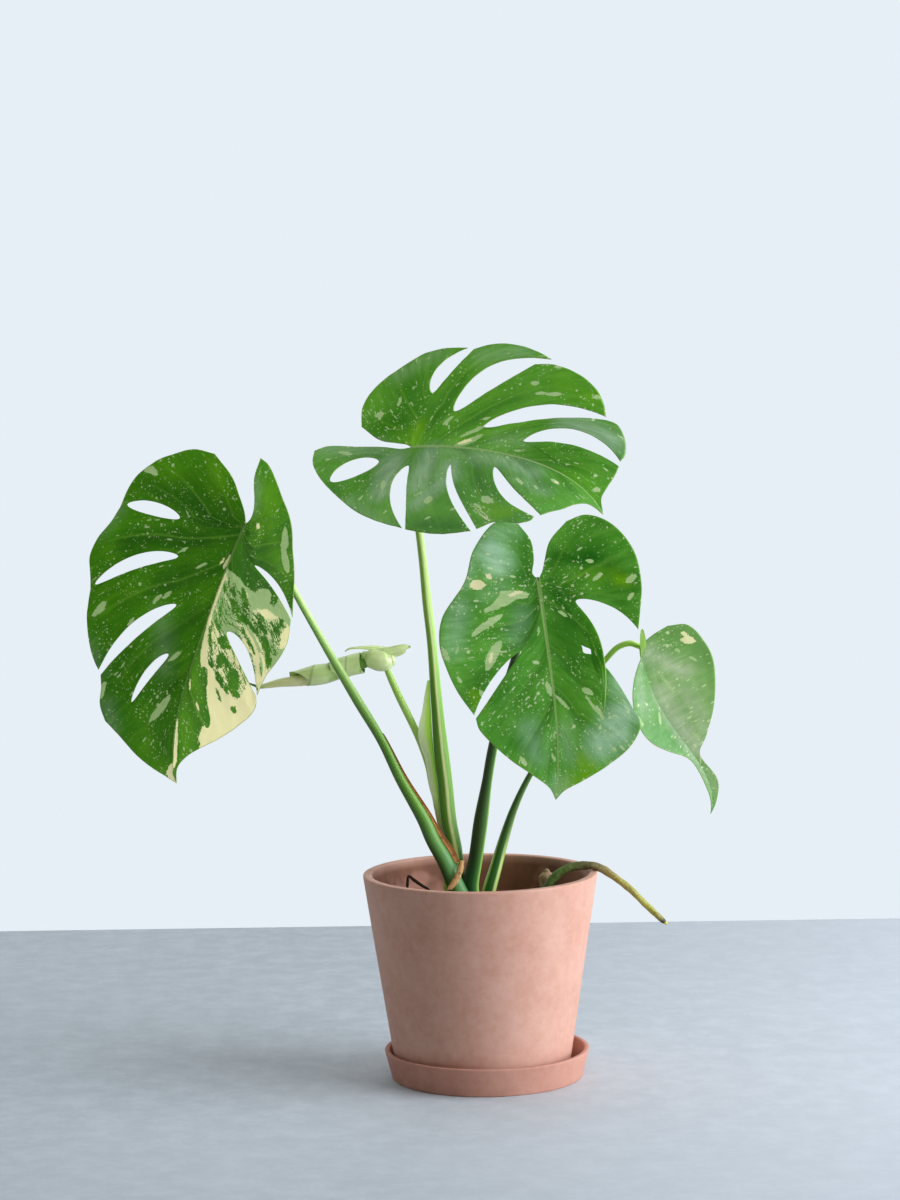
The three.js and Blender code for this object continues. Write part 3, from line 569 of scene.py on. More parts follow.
# Many small lumps: each is a ball of few corners, made uneven, stretched, turned, tipped and set at its place
def makeCrumbs(rows=6, columns=9, shapes=8):
    generator = np.random.default_rng(crumbs["seed"])
    count = crumbs["count"]
    latitude = np.linspace(0, np.pi, rows)[:, None]
    longitude = np.linspace(0, 2 * np.pi, columns)[None, :]
    around = (np.sin(latitude) * np.cos(longitude), np.sin(latitude) * np.sin(longitude), np.cos(latitude))
    ball = np.stack(np.broadcast_arrays(*around), -1)
    ball[:, -1] = ball[:, 0]
    ball = ball.reshape(-1, 3)
    place = np.sqrt(generator.uniform(0, 1, count)) * crumbs["within"]
    turn = generator.uniform(0, 2 * np.pi, count)
    x, y = place * np.cos(turn), place * np.sin(turn)
    size = generator.uniform(crumbs["smallest"], crumbs["largest"], count) ** 1.25
    stretch = generator.uniform(crumbs["least"], crumbs["most"], (count, 3)) * size[:, None]
    forms = np.stack([bumps(ball + 9 * k, 1.7, 40 + k) for k in range(shapes)])
    uneven = 1 + crumbs["uneven"] * forms[np.arange(count) % shapes]
    lumps = ball[None] * uneven[..., None] * stretch[:, None]
    lumps = spun(lumps, generator.uniform(0, 2 * np.pi, count), 0, 1)
    lumps = spun(lumps, -generator.normal(0, crumbs["tilt"], count), 0, 2)
    centre = np.stack([x, y, soilTop(x, y) + 0.25 * stretch[:, 2]], -1)
    corners = (lumps + centre[:, None]).reshape(-1, 3)
    one = gridQuads(rows, columns, flip=True)
    quads = (one[None] + np.arange(count)[:, None, None] * len(ball)).reshape(-1, 4)
    kind = np.repeat((generator.uniform(0, 1, count) < crumbs["chips"]).astype(int), len(one))
    piece = makePiece("soil_crumbs", corners, quads, [soilDark, chipBrown], materialOf=kind)


makeSoil()
makeCrumbs()
print("soil made")


# A blade lies on a midrib whose direction along its length t = 0..1 is given by polynomials: heading, the
# angle from straight down towards +X, and lean, the angle towards the front. roll turns the blade about
# the midrib, fold raises each half, droop bends its margin down. Outline places are (along, out).
# Areas are (half-width, strength, places...): a brush stroke through the places, pointed at its ends, or, with
# half-width 0, the area they enclose. Their out is positive in the first half, negative in the other. Mist and
# cream are the leaf's pale markings and green takes them away again; the soft pale bluish areas are painted sheen,
# deep is painted shade, and lit and gold are painted light coming through the blade.
leftLeaf = {
    "name": "leaf_left", "node": "blade_left",
    "junction": (-190, -55, 477), "length": 229,
    "heading": (-27, 48, -129, 120), "lean": (8, -10, -15),
    "roll": 22, "fold": ((8,), (28,)), "droop": (5, 3), "back": (4, -5),
    "halves": [
        {
            "sinus": [(-7, 4), (-20, 13), (-33, 19), (-46, 34)],
            "lobes": [
                {"margin": [(-42, 54), (-31, 73), (-15, 95), (5, 107)], "veins": (0.2, 0.55, 0.8)},
                {"margin": [(38, 111), (54, 117), (70, 118), (84, 112)]},
                {"margin": [(108, 105), (120, 102), (137, 93), (149, 83)]},
                {"margin": [(165, 71), (177, 69)]},
                {"margin": [(195, 48), (206, 33), (217, 16), (222, 8)], "veins": (0.3, 0.7)},
            ],
            "slits": [
                {"foot": 4, "root": (16, 54), "basal": [(12, 79), (21, 103)], "distal": [(22, 80), (21, 103)],
                 "rim": (25, 108)},
                {"foot": 14, "root": (44, 43), "basal": [(56, 80), (91, 105)], "distal": [(66, 74), (91, 105)],
                 "rim": (97, 107)},
                {"foot": 48, "root": (82, 30), "basal": [(108, 60), (154, 77)], "distal": [(117, 52), (157, 74)]},
                {"foot": 88, "root": (123, 22), "basal": [(139, 36), (169, 42)], "distal": [(147, 31), (169, 42)],
                 "rim": (187, 62)},
            ],
        },
        {
            "sinus": [(-6, 3), (-22, 3), (-40, 5), (-60, 17)],
            "lobes": [
                {"margin": [(-56, 28), (-28, 46), (-2, 63), (24, 83)], "veins": (0.25, 0.6, 0.85)},
                {"margin": [(75, 105), (88, 102), (105, 94)]},
                {"margin": [(127, 95), (135, 93), (148, 82), (169, 59), (186, 36), (200, 18), (214, 5)],
                 "veins": (0.2, 0.5, 0.8)},
            ],
            "slits": [
                {"foot": 8, "root": (29, 32), "basal": [(37, 70), (57, 101)], "distal": [(43, 68), (59, 100)]},
                {"foot": 45, "root": (87, 29), "basal": [(93, 62), (120, 92)], "distal": [(104, 56), (121, 91)]},
            ],
        },
    ],
    "mist": [
        (0, 1, (39, 0), (41, -10), (43, -20), (46, -28), (49, -38), (49.5, -46), (46, -49), (44, -54), (43.5, -62),
         (46, -67), (53, -69), (55, -75), (51, -77), (45, -77), (44, -84), (60, -110), (120, -112), (110, -60),
         (92, -34), (110, -20), (118, -9.5), (112, -6), (98, -2.5), (60, -1)),
        (0, 1, (-12, -47), (-4, -48), (6, -53), (11, -57), (10, -62), (2, -61), (-8, -53)),
        (2.6, 1, (8, -58), (16, -66), (25, -76)), (2.3, 1, (102, 90.5), (108, 93), (117, 97.5)),
        (2.3, 1, (155, 10.5), (166, 15), (180, 23)), (2.3, 1, (-5, 101), (-8, 96), (-7, 89)),
        (1.9, 1, (161, 68), (167, 70), (173, 69)), (1.4, 1, (81, 43.5), (74, 38.5)), (1.3, 1, (88, 50), (79, 45.5)),
        (1.3, 1, (128, 20), (117, 12)), (1.1, 1, (105, 61), (113, 64)), (1.0, 1, (42, 45), (35, 38)),
        (1.0, 1, (48, 25), (41, 18)),
    ],
    "cream": [
        (0, 1, (79, -1), (83, -8), (87, -14), (88, -22), (90, -30), (96, -44), (104, -58), (112, -80), (124, -105),
         (200, -60), (188, -36), (184, -37), (180, -38.5), (178, -35), (173, -34.5), (165, -36.5), (164.5, -44.5),
         (160, -45.5), (155, -43), (150, -39), (145, -35), (140, -31.5), (135, -28.5), (130, -27.5), (126, -24.5),
         (121, -21), (120.5, -17), (122, -13.5), (118, -9.5), (112, -6), (105, -4), (98, -2.5)),
        (0, 1, (50, -33), (51, -36), (56, -40), (62, -45), (70, -49), (68, -43), (66, -36), (62, -33), (56, -31)),
        (0, 1, (72, -31), (74, -38), (75, -44), (77, -51), (80, -48), (79, -41), (76, -34)),
        (0, 0.8, (63, -49), (60, -58), (58, -68), (60, -80), (60, -90), (66, -106), (80, -106), (84, -96),
         (79, -84), (78, -72), (76, -58)),
        (0, 0.84, (72, -49), (78, -60), (88, -75), (100, -88), (125, -92), (112, -96), (98, -98), (86, -84),
         (78, -66)),
        (5, 0.8, (78, -42), (88, -60), (99, -76), (113, -90)), (3, 0.7, (70, -54), (78, -74), (90, -92)),
        (1.2, 1, (46, -3), (52, -10), (60, -20)), (1.1, 1, (57, -5), (64, -16), (67, -24)),
        (1.2, 1, (72, -4), (78, -12), (83, -22)), (1.6, 1, (42, -2), (62, -1.5), (90, -2)),
        (1.0, 1, (28, 1.5), (41, 2.5)), (1.0, 1, (31, 5), (38, 7)),
        (1.7, 1, (172, -1.5), (192, -4), (206, -4), (214, -0.5)), (1.9, 1, (211, 0.5), (220, 4.5), (228, 1)),
        (1.1, 1, (150, -20), (156, -27)), (0.9, 1, (136, -4), (144, -7)), (1.7, 0.8, (-4, -13), (-1, -19)),
    ],
    "green": [
        (0, 0.44, (44, -6), (52, -30), (60, -46), (66, -50), (84, -52), (100, -60), (112, -78), (124, -76),
         (132, -72), (134, -60), (128, -44), (122, -32), (114, -16), (96, -5), (70, -3)),
        (0, 0.48, (62, -50), (64, -70), (62, -92), (84, -100), (98, -94), (92, -84), (80, -66), (74, -50)),
        (0, 1, (103.5, -29), (104, -36), (108, -36), (112, -39), (115, -36), (117, -32), (111, -29)),
        (0, 1, (109.5, -46), (111, -54), (113, -60), (118, -65.5), (121, -66), (125, -68.5), (127.5, -72.5),
         (129, -66), (128, -61), (126, -56), (123, -53), (120, -54), (117, -48), (114, -50)),
        (1.9, 1, (139, -66), (139.5, -74)), (2.1, 1, (69.5, -85.5), (70.5, -93.5)),
        (1.9, 1, (50, -28.5), (56, -35), (62, -42)), (2.1, 1, (63, -22), (68, -30), (72, -41), (73, -50)),
        (1.3, 1, (93.5, -24), (92.5, -33)), (1.3, 1, (95, -22), (98, -30), (96, -41)),
        (1.4, 1, (106, -36), (110, -49)), (1.9, 0.85, (114, -20), (117, -27)), (2.0, 0.85, (120, -34), (125, -41)),
        (1.8, 0.85, (122, -42), (128, -47)), (1.5, 0.85, (125, -50), (129, -54)),
        (1.2, 0.9, (131, -40), (138.5, -52)), (1.2, 0.9, (64.5, -38), (69.5, -46)),
        (1.2, 0.7, (88, -5), (96, -10), (108, -21)), (1.4, 0.75, (61, -87), (66, -97)),
        (2.2, 0.7, (80, -74), (84, -82), (92, -90), (99, -92)), (1.6, 0.6, (63, -57), (69, -66)),
        (1.3, 0.8, (73, -51), (79, -68)), (1.2, 0.8, (70, -9), (78, -15)), (1.1, 0.8, (53, -14), (57, -23)),
        (1.0, 0.8, (82, -10), (87, -20)), (3.0, 0.55, (88, -88), (98, -93)), (1.3, 0.8, (52, -4), (58, -9)),
        (0.9, 0.85, (80, -47), (90, -64)), (0.8, 0.85, (94, -66), (105, -81)), (0.8, 0.85, (84, -57), (93, -73)),
        (0.8, 0.8, (71, -64), (76, -78)), (0.9, 0.8, (86, -40), (91, -52)), (0.8, 0.8, (98, -82), (106, -89)),
    ],
    # From here on the areas are painted: the first list sheen, the next shade, the last two light coming through
    # the blade
    "sheen": [
        (3, 0.6, (-36, -9), (-14, -2)), (6, 0.3, (96, 40), (118, 28), (134, 24)), (3, 0.5, (178, 62), (190, 56)),
        (3, 0.4, (28, 110), (44, 117)), (3, 0.3, (140, 90), (154, 76)),
    ],
    "deep": [
        (4, 0.9, (6, 22), (3, 60), (2, 92)), (5, 0.9, (24, 30), (34, 62), (48, 88)), (5, 0.8, (44, 20), (66, 48)),
        (5, 0.9, (34, -14), (44, -36), (42, -62)), (4, 0.7, (150, 12), (176, 12), (200, 8)),
        (5, 0.7, (88, 14), (112, 22)), (5, 0.6, (-2, 30), (-16, 60)), (4, 0.7, (120, 60), (138, 66)),
    ],
    "lit": [
        (7, 0.9, (-34, 32), (-14, 30)), (6, 0.5, (-20, 60), (-8, 90)), (12, 0.85, (-26, -22), (-2, -20)),
        (6, 0.6, (10, -44), (28, -74)), (8, 0.75, (130, -8), (160, -18), (186, -18)), (3, 0.5, (200, 18), (218, 6)),
        (5, 0.35, (88, 86), (112, 92)),
    ],
    "gold": [],
}

topLeaf = {
    "name": "leaf_top", "node": "blade_top",
    "junction": (-53, 20, 536), "length": 199,
    "heading": (96, -57, 88, -101), "lean": (36, -15),
    "roll": -45, "fold": ((6,), (22,)), "droop": (4, 2), "back": (90, 18),
    "halves": [
        {
            "sinus": [(-9, 1), (-28, -2), (-52, -2.5), (-80, -3), (-89, 2)],
            "lobes": [
                {"margin": [(-85, 16), (-74, 31)], "veins": (0.5,)},
                {"margin": [(-45, 57), (-21, 74), (5, 86), (28, 95)], "veins": (0.3, 0.7)},
                {"margin": [(66, 106), (82, 107), (103, 105), (115, 102)]},
                {"margin": [(130, 94), (136, 88), (146, 84.5), (160, 84), (172, 83), (179, 75)]},
                {"margin": [(179, 50), (182, 36), (182, 22), (186, 9)], "veins": (0.3, 0.65)},
            ],
            "slits": [
                {"foot": 3, "root": (-26, 14), "basal": [(-52, 14), (-60, 38)], "distal": [(-38, 32), (-60, 38)],
                 "rim": (-62, 43)},
                {"foot": 6, "root": (7, 22), "basal": [(3, 54), (44, 100)], "distal": [(24, 56), (49, 102)]},
                {"foot": 28, "root": (51, 21), "basal": [(72, 61), (121, 101)], "distal": [(79, 58), (126, 98)]},
                {"foot": 62, "root": (93, 18), "basal": [(125, 54), (175, 67)], "distal": [(133, 43), (178, 61)]},
            ],
        },
        {
            "sinus": [(-6, 3), (-16, 5), (-32, 8), (-50, 20)],
            "lobes": [
                {"margin": [(-51, 40), (-37, 61), (-15, 78), (10, 89)], "veins": (0.2, 0.5, 0.8)},
                {"margin": [(53, 97), (73, 100), (90, 97)]},
                {"margin": [(101, 90), (118, 89), (133, 83), (143, 73)]},
                {"margin": [(156, 65), (165, 59), (172, 48)]},
                {"margin": [(178, 29), (182, 16), (187, 6)], "veins": (0.4,)},
            ],
            "slits": [
                {"foot": 3, "root": (11, 49), "basal": [(11, 71), (33, 91)], "distal": [(23, 66), (38, 90)]},
                {"foot": 8, "root": (34, 33), "basal": [(52, 74), (98, 94)], "distal": [(63, 57), (88, 86)]},
                {"foot": 30, "root": (65, 21), "basal": [(101, 49), (148, 65)], "distal": [(104, 35), (150, 63)]},
                {"foot": 68, "root": (104, 15), "basal": [(136, 41), (173, 41)], "distal": [(140, 27), (175, 37)]},
            ],
        },
    ],
    "mist": [
        (2.2, 1, (-7, 48), (-12, 38)), (1.4, 1, (-66, 4), (-53, 7)), (1.1, 1, (-75, 13), (-71, 12)),
        (3.0, 1, (56, 70), (51, 63)), (2.9, 1, (104, 56), (110, 60), (118, 62)), (1.0, 1, (-26, 61), (-24, 55)),
        (1.0, 1, (38, 61), (42, 57)), (1.2, 1, (129, 31), (119, 25)), (1.0, 1, (144, 30), (139, 27)),
        (1.6, 1, (146, 11), (154, 13)), (1.5, 1, (177, -5), (180, -11)), (1.9, 1, (-39, -30), (-32, -32)),
        (1.1, 1, (-19, -39), (-18, -47)), (1.7, 1, (43, -1), (55, -6), (67, -14)),
        (1.3, 1, (47, -10), (58, -16), (68, -22)), (1.2, 1, (28, -20), (35, -28)), (1.6, 1, (91, -68), (96, -70)),
        (1.3, 1, (97, -60), (104, -63)), (1.4, 1, (105, -62), (115, -66)), (1.2, 1, (103, -88), (107, -91)),
        (1.2, 1, (134, -74), (139, -78)), (1.0, 1, (62, -28), (68, -30)), (0.9, 1, (100, -5), (106, -6)),
        (1.1, 1, (8, 78), (12, 76)), (1.3, 1, (84, 79), (90, 73)), (1.1, 1, (64, 91), (68, 87)),
        (0, 0.5, (96, 68), (105, 76), (112, 80), (122, 84), (133, 94), (138, 84), (128, 79), (118, 74), (106, 66)),
    ],
    "cream": [
        (1.1, 1, (46, -3), (58, -9)), (0, 0.5, (116, 80), (125, 86), (134, 94), (136, 86), (126, 80)),
        (1.2, 1, (149, 11), (153, 12)),
    ],
    "green": [],
    # From here on the areas are painted: the first list sheen, the next shade, the last two light coming through
    # the blade
    "sheen": [
        (10, 0.85, (-12, 16), (-6, 50)), (9, 0.8, (24, 10), (32, 50)), (8, 0.8, (50, 24), (58, 38), (44, 70)),
        (5, 0.55, (-78, 1), (-30, 0)), (6, 0.6, (70, 8), (110, 10), (128, 14)), (5, 0.35, (120, 24), (150, 30)),
        (7, 0.7, (128, -44), (160, -50)), (4, 0.45, (-24, -68), (10, -86)), (5, 0.45, (46, -84), (76, -94)),
        (3, 0.5, (-34, 62), (20, 96)), (4, 0.4, (80, -10), (104, -14)), (6, 0.3, (40, 6), (64, 8)),
    ],
    "deep": [
        (12, 0.8, (-34, -16), (-12, -28), (-8, -56)), (7, 0.95, (60, 98), (104, 98)),
        (4, 0.7, (-56, 44), (-44, 56)), (5, 0.7, (14, -20), (30, -58)), (5, 0.6, (78, 56), (96, 66)),
        (5, 0.6, (94, 42), (126, 56)), (6, 0.5, (120, -8), (150, -12)), (5, 0.6, (56, -26), (84, -52)),
        (4, 0.6, (160, 74), (172, 72)),
    ],
    "lit": [
        (5, 1.0, (0, -4), (4, -18)), (6, 0.6, (-30, -14), (-6, -10)), (8, 0.6, (116, -76), (134, -72)),
        (7, 0.6, (156, -6), (178, -6)), (6, 0.5, (112, 74), (140, 74)), (5, 0.4, (150, 44), (168, 30)),
    ],
    "gold": [
        (9, 0.7, (118, 70), (132, 74), (146, 72)), (5, 1.0, (1, -3), (3, -18)), (3, 0.6, (134, -74), (139, -78)),
    ],
}

frontLeaf = {
    "name": "leaf_front", "node": "blade_front",
    "junction": (50, -90, 431), "length": 181,
    "heading": (7, 0, 8, -24), "lean": (6, 5, -10),
    "roll": 0, "fold": ((8,), (12,)), "droop": (7, 5), "back": (0, 0),
    "halves": [
        {
            "sinus": [(-5, 4), (-17, 2), (-32, 4), (-47, 14)],
            "lobes": [
                {"margin": [(-51, 33), (-32, 51), (-7, 60), (21, 83), (42, 88), (62, 85), (84, 78)],
                 "veins": (0.15, 0.4, 0.6, 0.85)},
                {"margin": [(118, 64), (136, 51), (150, 37), (162, 20), (172, 6)], "veins": (0.2, 0.5, 0.75)},
            ],
            "slits": [
                {"foot": 22, "root": (56, 22), "basal": [(76, 49), (105, 67)], "distal": [(80, 43), (108, 66)]},
            ],
        },
        {
            "sinus": [(-6, 4), (-15, 7), (-30, 12), (-44, 26)],
            "lobes": [
                {"margin": [(-47, 42), (-37, 63), (-13, 81), (15, 84), (36, 80)], "veins": (0.2, 0.5, 0.8)},
                {"margin": [], "lift": 14},
                {"margin": [(110, 63), (123, 69), (137, 61), (151, 42), (163, 22), (173, 6)],
                 "veins": (0.2, 0.45, 0.7)},
            ],
            "slits": [
                {"foot": 5, "root": (22, 28), "basal": [(30, 56), (52, 76)], "distal": [(60, 44), (112, 39)]},
                {"foot": 25, "root": (58, 28), "basal": [(85, 38), (114, 37)], "distal": [(76, 44), (96, 56)],
                 "eye": 4.4},
            ],
        },
    ],
    "mist": [
        (0, 1, (5, 32), (6.5, 22), (8, 13), (10.5, 9), (13.5, 11), (14, 20), (18, 30), (21.5, 47), (19, 49),
         (16, 42), (11, 36)),
        (2.2, 1, (38, 60), (31, 48), (25, 34)), (3.1, 1, (46, 38), (56, 46), (67, 52)),
        (1.7, 1, (92, -24), (98, -32)), (2.1, 1, (8, -80), (12, -72)), (1.3, 1, (27, -71), (22, -76)),
        (1.5, 1, (7, -45), (2, -53)), (1.2, 1, (-10, -41), (-8, -47)), (1.7, 1, (84, 5), (95, 2.5)),
        (1.6, 1, (84, 60), (92, 56)), (1.2, 1, (70, 77), (76, 74)), (1.4, 1, (145, 31), (153, 27)),
        (2.3, 0.7, (44, 87), (57, 82)), (1.6, 1, (-53, 39), (-50, 35)), (0.9, 1, (94, 0), (100, -5), (109, -12)),
        (0.9, 1, (99, -26), (113, -35)), (1.1, 1, (107, -34), (118, -39)), (1.1, 1, (-3, 62), (0, 66)),
        (1.0, 1, (66, 14), (68, 9)), (0.9, 1, (139, -44), (141, -49)), (0.9, 1, (143, 5), (149, 3)),
        (1.1, 1, (38, 5), (45, 7)), (0.9, 1, (28, -13), (33, -19)), (0.9, 1, (46, 73), (52, 76)),
    ],
    "cream": [
        (3.2, 1, (-3, 56), (-1.5, 45)), (1.6, 1, (-9, 42), (-6, 38)), (1.2, 0.8, (8, 14), (10, 26)),
        (1.0, 1, (54, 46), (62, 49)),
    ],
    "green": [(1.6, 0.8, (37, 8), (46, 9))],
    # From here on the areas are painted: the first list sheen, the next shade, the last two light coming through
    # the blade
    "sheen": [
        (10, 1.0, (-30, 38), (-18, 32)), (8, 0.5, (-42, 24), (-44, 40)), (4, 0.6, (-20, 54), (-6, 60)),
        (7, 0.5, (14, 68), (46, 78)), (10, 1.0, (136, -34), (128, -52)), (10, 1.0, (122, -46), (112, -60)),
        (8, 1.0, (92, -56), (112, -66)), (6, 0.35, (120, 24), (146, 18)), (4, 0.3, (2, 30), (6, 46)),
        (4, 0.35, (28, 18), (44, 26)), (5, 0.35, (124, -8), (146, -10)), (5, 0.6, (168, -3), (178, -2)),
    ],
    "deep": [
        (6, 0.9, (-34, 8), (-6, 8)), (6, 0.9, (20, 10), (44, 16)), (6, 0.9, (40, -8), (70, -20)),
        (6, 0.8, (72, 56), (88, 66)), (6, 0.6, (76, 34), (98, 48)), (5, 0.8, (4, -10), (14, -26)),
        (6, 0.7, (-36, -36), (-40, -58)), (5, 0.5, (94, 4), (120, 6)), (6, 0.6, (84, -22), (110, -44)),
        (5, 0.5, (14, -52), (16, -70)), (5, 0.5, (12, 56), (24, 66)), (10, 0.5, (100, 20), (142, 20)),
        (9, 0.45, (92, -18), (132, -22)),
    ],
    "lit": [
        (11, 1.0, (-14, -18), (-12, -46)), (8, 1.0, (14, -14), (28, -20), (42, -26)),
        (7, 1.0, (12, -10), (22, -24), (44, -36), (70, -42)), (8, 0.8, (0, -60), (14, -76)),
        (5, 0.6, (28, -66), (44, -74)), (6, 0.5, (120, 46), (134, 34)), (5, 0.5, (-4, 10), (2, 30)),
    ],
    "gold": [
        (8, 1.0, (150, -20), (157, -26), (163, -14)), (5, 1.0, (165, -10), (172, -3)), (5, 0.7, (86, 66), (98, 62)),
        (4, 0.9, (9, -64), (11, -72)), (4, 0.5, (148, 30), (154, 24)), (7, 0.4, (4, -28), (6, -62)),
    ],
}

rightLeaf = {
    "name": "leaf_right", "node": "blade_right",
    "junction": (140, 30, 363), "length": 161,
    "heading": (5.5, 54, 101, -177), "lean": (5, -10),
    "roll": -10, "fold": ((84, -146, 222, -164, 62), (15,)), "droop": (4, 3), "back": (5, 0),
    "halves": [
        {
            "sinus": [(-3, 3), (-9, 8), (-14, 17)],
            "lobes": [
                {"margin": [(-14, 32), (2, 47), (27, 54), (50, 54), (68, 47), (86, 29), (100, 13), (108, 8),
                            (134, 7), (150, 3)],
                 "veins": (0.1, 0.25, 0.4, 0.55)},
            ],
            "slits": [],
        },
        {
            "sinus": [(-3, 3), (-9, 12), (-15, 25)],
            "lobes": [
                {"margin": [(-14, 42), (0, 54), (22, 59), (46, 57), (66, 50), (83, 38), (98, 19), (108, 5),
                            (134, 8), (148, 4)],
                 "veins": (0.1, 0.25, 0.4, 0.55)},
            ],
            "slits": [],
        },
    ],
    "mist": [
        (1.3, 1, (66, 16), (58, 6)), (0.9, 1, (28, -12), (38, -15), (50, -17)), (2.3, 0.8, (57, 45), (50, 50)),
        (1.1, 1, (7, -29), (10, -33)), (1.0, 1, (18, -40), (26, -46)), (1.0, 1, (90, -10), (96, -14)),
    ],
    "cream": [(2.8, 1, (-2, -36), (1, -47)), (1.3, 1, (-8, -36), (-5, -41))],
    "green": [],
    # From here on the areas are painted: the first list sheen, the next shade, the last two light coming through
    # the blade
    "sheen": [
        (7, 1.0, (6, -5), (14, -14), (24, -24), (34, -33)), (5, 0.6, (22, -10), (60, -24)),
        (14, 0.3, (30, -30), (60, -30)), (14, 0.3, (10, 30), (40, 30)), (9, 0.85, (44, -8), (102, -6)),
        (10, 0.55, (56, -28), (90, -22)), (6, 0.4, (112, 2), (136, -4)),
    ],
    "deep": [
        (14, 0.3, (4, 30), (50, 30)), (10, 0.9, (-12, -30), (0, -50), (30, -55)), (5, 0.6, (40, -54), (72, -44)),
        (5, 0.5, (-4, -10), (-8, -30)), (3, 0.4, (50, -24), (80, -30)), (2, 0.9, (112, 7), (140, 6)),
    ],
    "lit": [(6, 0.4, (20, -34), (50, -40)), (5, 0.5, (86, -20), (60, -46))],
    "gold": [],
}

# Lengths in millimetres. Waves are (height, length, seed, distance from the midrib where they are full)
blade = {
    "thickness": 0.9,
    "behind": 120,
    "backTurn": 30,
    "innerRows": 32,
    "outerRows": 66,
    "spacing": 1.52,
    "rootAt": 0.25,
    "rimAt": 0.875,
    "swell": 2.5,
    "rootRound": 0.42,
    "stemPull": 0.45,
    "eyeAt": 0.13,
    "eyeWidth": 0.09,
    "veinWidth": 1.6,
    "veinDepth": 0.4,
    "valleyWidth": 11,
    "valleyDepth": 1.5,
    "veinTone": 0.95,
    # Width of the painted shade beside a vein
    "valleyShadeWidth": 6.5,
    "waves": ((0.9, 75, 21, 60), (0.25, 16, 22, 20)),
    "calmTip": 40,
    "calmRib": 8,
    "patternStep": 400,
    "ridgeWidth": 1.25,
    "ridgeDepth": 1.5,
    "ridgeSides": 16,
    "ridgeSteps": 150,
    "rimTaper": 12,
}


# Midrib: the direction at each millimetre is added up from the junction to give the place. The upper side
# faces the front, made square to the midrib and rolled about it. Behind the junction the frame stays as it is
# there, and only the line itself turns to the leaf's back direction.
def midribFrames(leaf):
    a = np.arange(-float(blade["behind"]), leaf["length"] + 2)
    t = np.maximum(a / leaf["length"], 0)

    def direction(heading, lean):
        h, q = np.radians(heading), np.radians(lean)
        return np.stack([np.sin(h) * np.cos(q), -np.sin(q), -np.cos(h) * np.cos(q)], -1)

    heading, lean = polynomial(leaf["heading"], t) + 0 * t, polynomial(leaf["lean"], t) + 0 * t
    blend = smoothStep(-a / blade["backTurn"])
    path = direction(heading + (leaf["back"][0] - heading) * blend, lean + (leaf["back"][1] - lean) * blend)
    along = direction(heading, lean)
    front = np.array([0.0, -1.0, 0.0])
    facing = unit(front - along * (along @ front)[:, None])
    roll = math.radians(leaf["roll"])
    up = facing * math.cos(roll) + np.cross(along, facing) * math.sin(roll)
    place = np.vstack([np.zeros(3), np.cumsum((path[1:] + path[:-1]) / 2, axis=0)])
    place += np.array(leaf["junction"], float) - place[blade["behind"]]
    return a, place, np.cross(along, up), up


def frameAt(frames, a):
    read = lambda values: np.stack([np.interp(a, frames[0], values[:, k]) for k in range(3)], -1)
    return read(frames[1]), unit(read(frames[2])), unit(read(frames[3]))


# Place of a flat outline point: out from the midrib along the folded half, with the margin drooping as the
# square of the distance, plus a lift straight up from the blade
def onBlade(leaf, frames, half, a, c, lift):
    place, side, up = frameAt(frames, a)
    t = np.clip(a / leaf["length"], 0, 1)
    fold = np.radians(polynomial(leaf["fold"][half], t))
    sign = 1 if half == 0 else -1
    rise = c * np.sin(fold) - leaf["droop"][half] * (c / 100) ** 2 + lift
    return place + side * (sign * c * np.cos(fold))[..., None] + up * rise[..., None]


# Both edges of a slit: together from the midrib to its root on a quadratic that arrives along the slit, then
# each a quadratic through its middle to its end, pushed apart near the root so that the slit begins round, and,
# where the slit is closed, pushed apart at its far end too and then together again to the rim. An eye is a small
# opening near the root of a slit whose edges cross further out
def slitEdges(slit, v):
    foot, root = np.array([slit["foot"], 0.0]), np.array(slit["root"], float)
    last = blade["rimAt"] if "rim" in slit else 1.0
    early = np.clip(v / blade["rootAt"], 0, 1)[:, None]
    t = np.clip((v - blade["rootAt"]) / (last - blade["rootAt"]), 0, 1)[:, None]
    late = np.clip((v - last) / max(1 - last, 1e-9), 0, 1)[:, None]
    arcs = []
    for side in ("basal", "distal"):
        middle, end = (np.array(p, float) for p in slit[side])
        pull = 2 * middle - (root + end) / 2
        arc = (1 - t) ** 2 * root + 2 * t * (1 - t) * pull + t**2 * end
        if "rim" in slit:
            arc = arc + late * (np.array(slit["rim"], float) - end)
        arcs.append(arc)
    centre, half = (arcs[0] + arcs[1]) / 2, (arcs[0] - arcs[1]) / 2
    toRoot = t if "rim" in slit else np.minimum(t, 0.5)
    opening = np.clip(4 * toRoot * (1 - toRoot), 1e-4, 1) ** -blade["rootRound"]
    aim = unit((np.array(slit["basal"][0], float) + slit["distal"][0]) / 2 - root)
    pull = root - aim * np.linalg.norm(root - foot) * blade["stemPull"]
    stem = (1 - early) ** 2 * foot + 2 * early * (1 - early) * pull + early**2 * root
    eye = np.array([-aim[1], aim[0]]) * slit.get("eye", 0) * bell(t - blade["eyeAt"], blade["eyeWidth"])
    inner = v[:, None] <= blade["rootAt"]
    return [np.where(inner, stem, centre + sign * (half * opening + eye)) for sign in (1, -1)]


# Lobe: lines straight across from one edge to the other, swelled towards the margin's smooth line by a power
# of the distance from the midrib
def lobeFlat(rim, before, after, u, v):
    straight = before[:, None] * (1 - u)[None, :, None] + after[:, None] * u[None, :, None]
    return straight + (v ** blade["swell"])[:, None, None] * (smoothLine(rim, u) - straight[-1])[None]
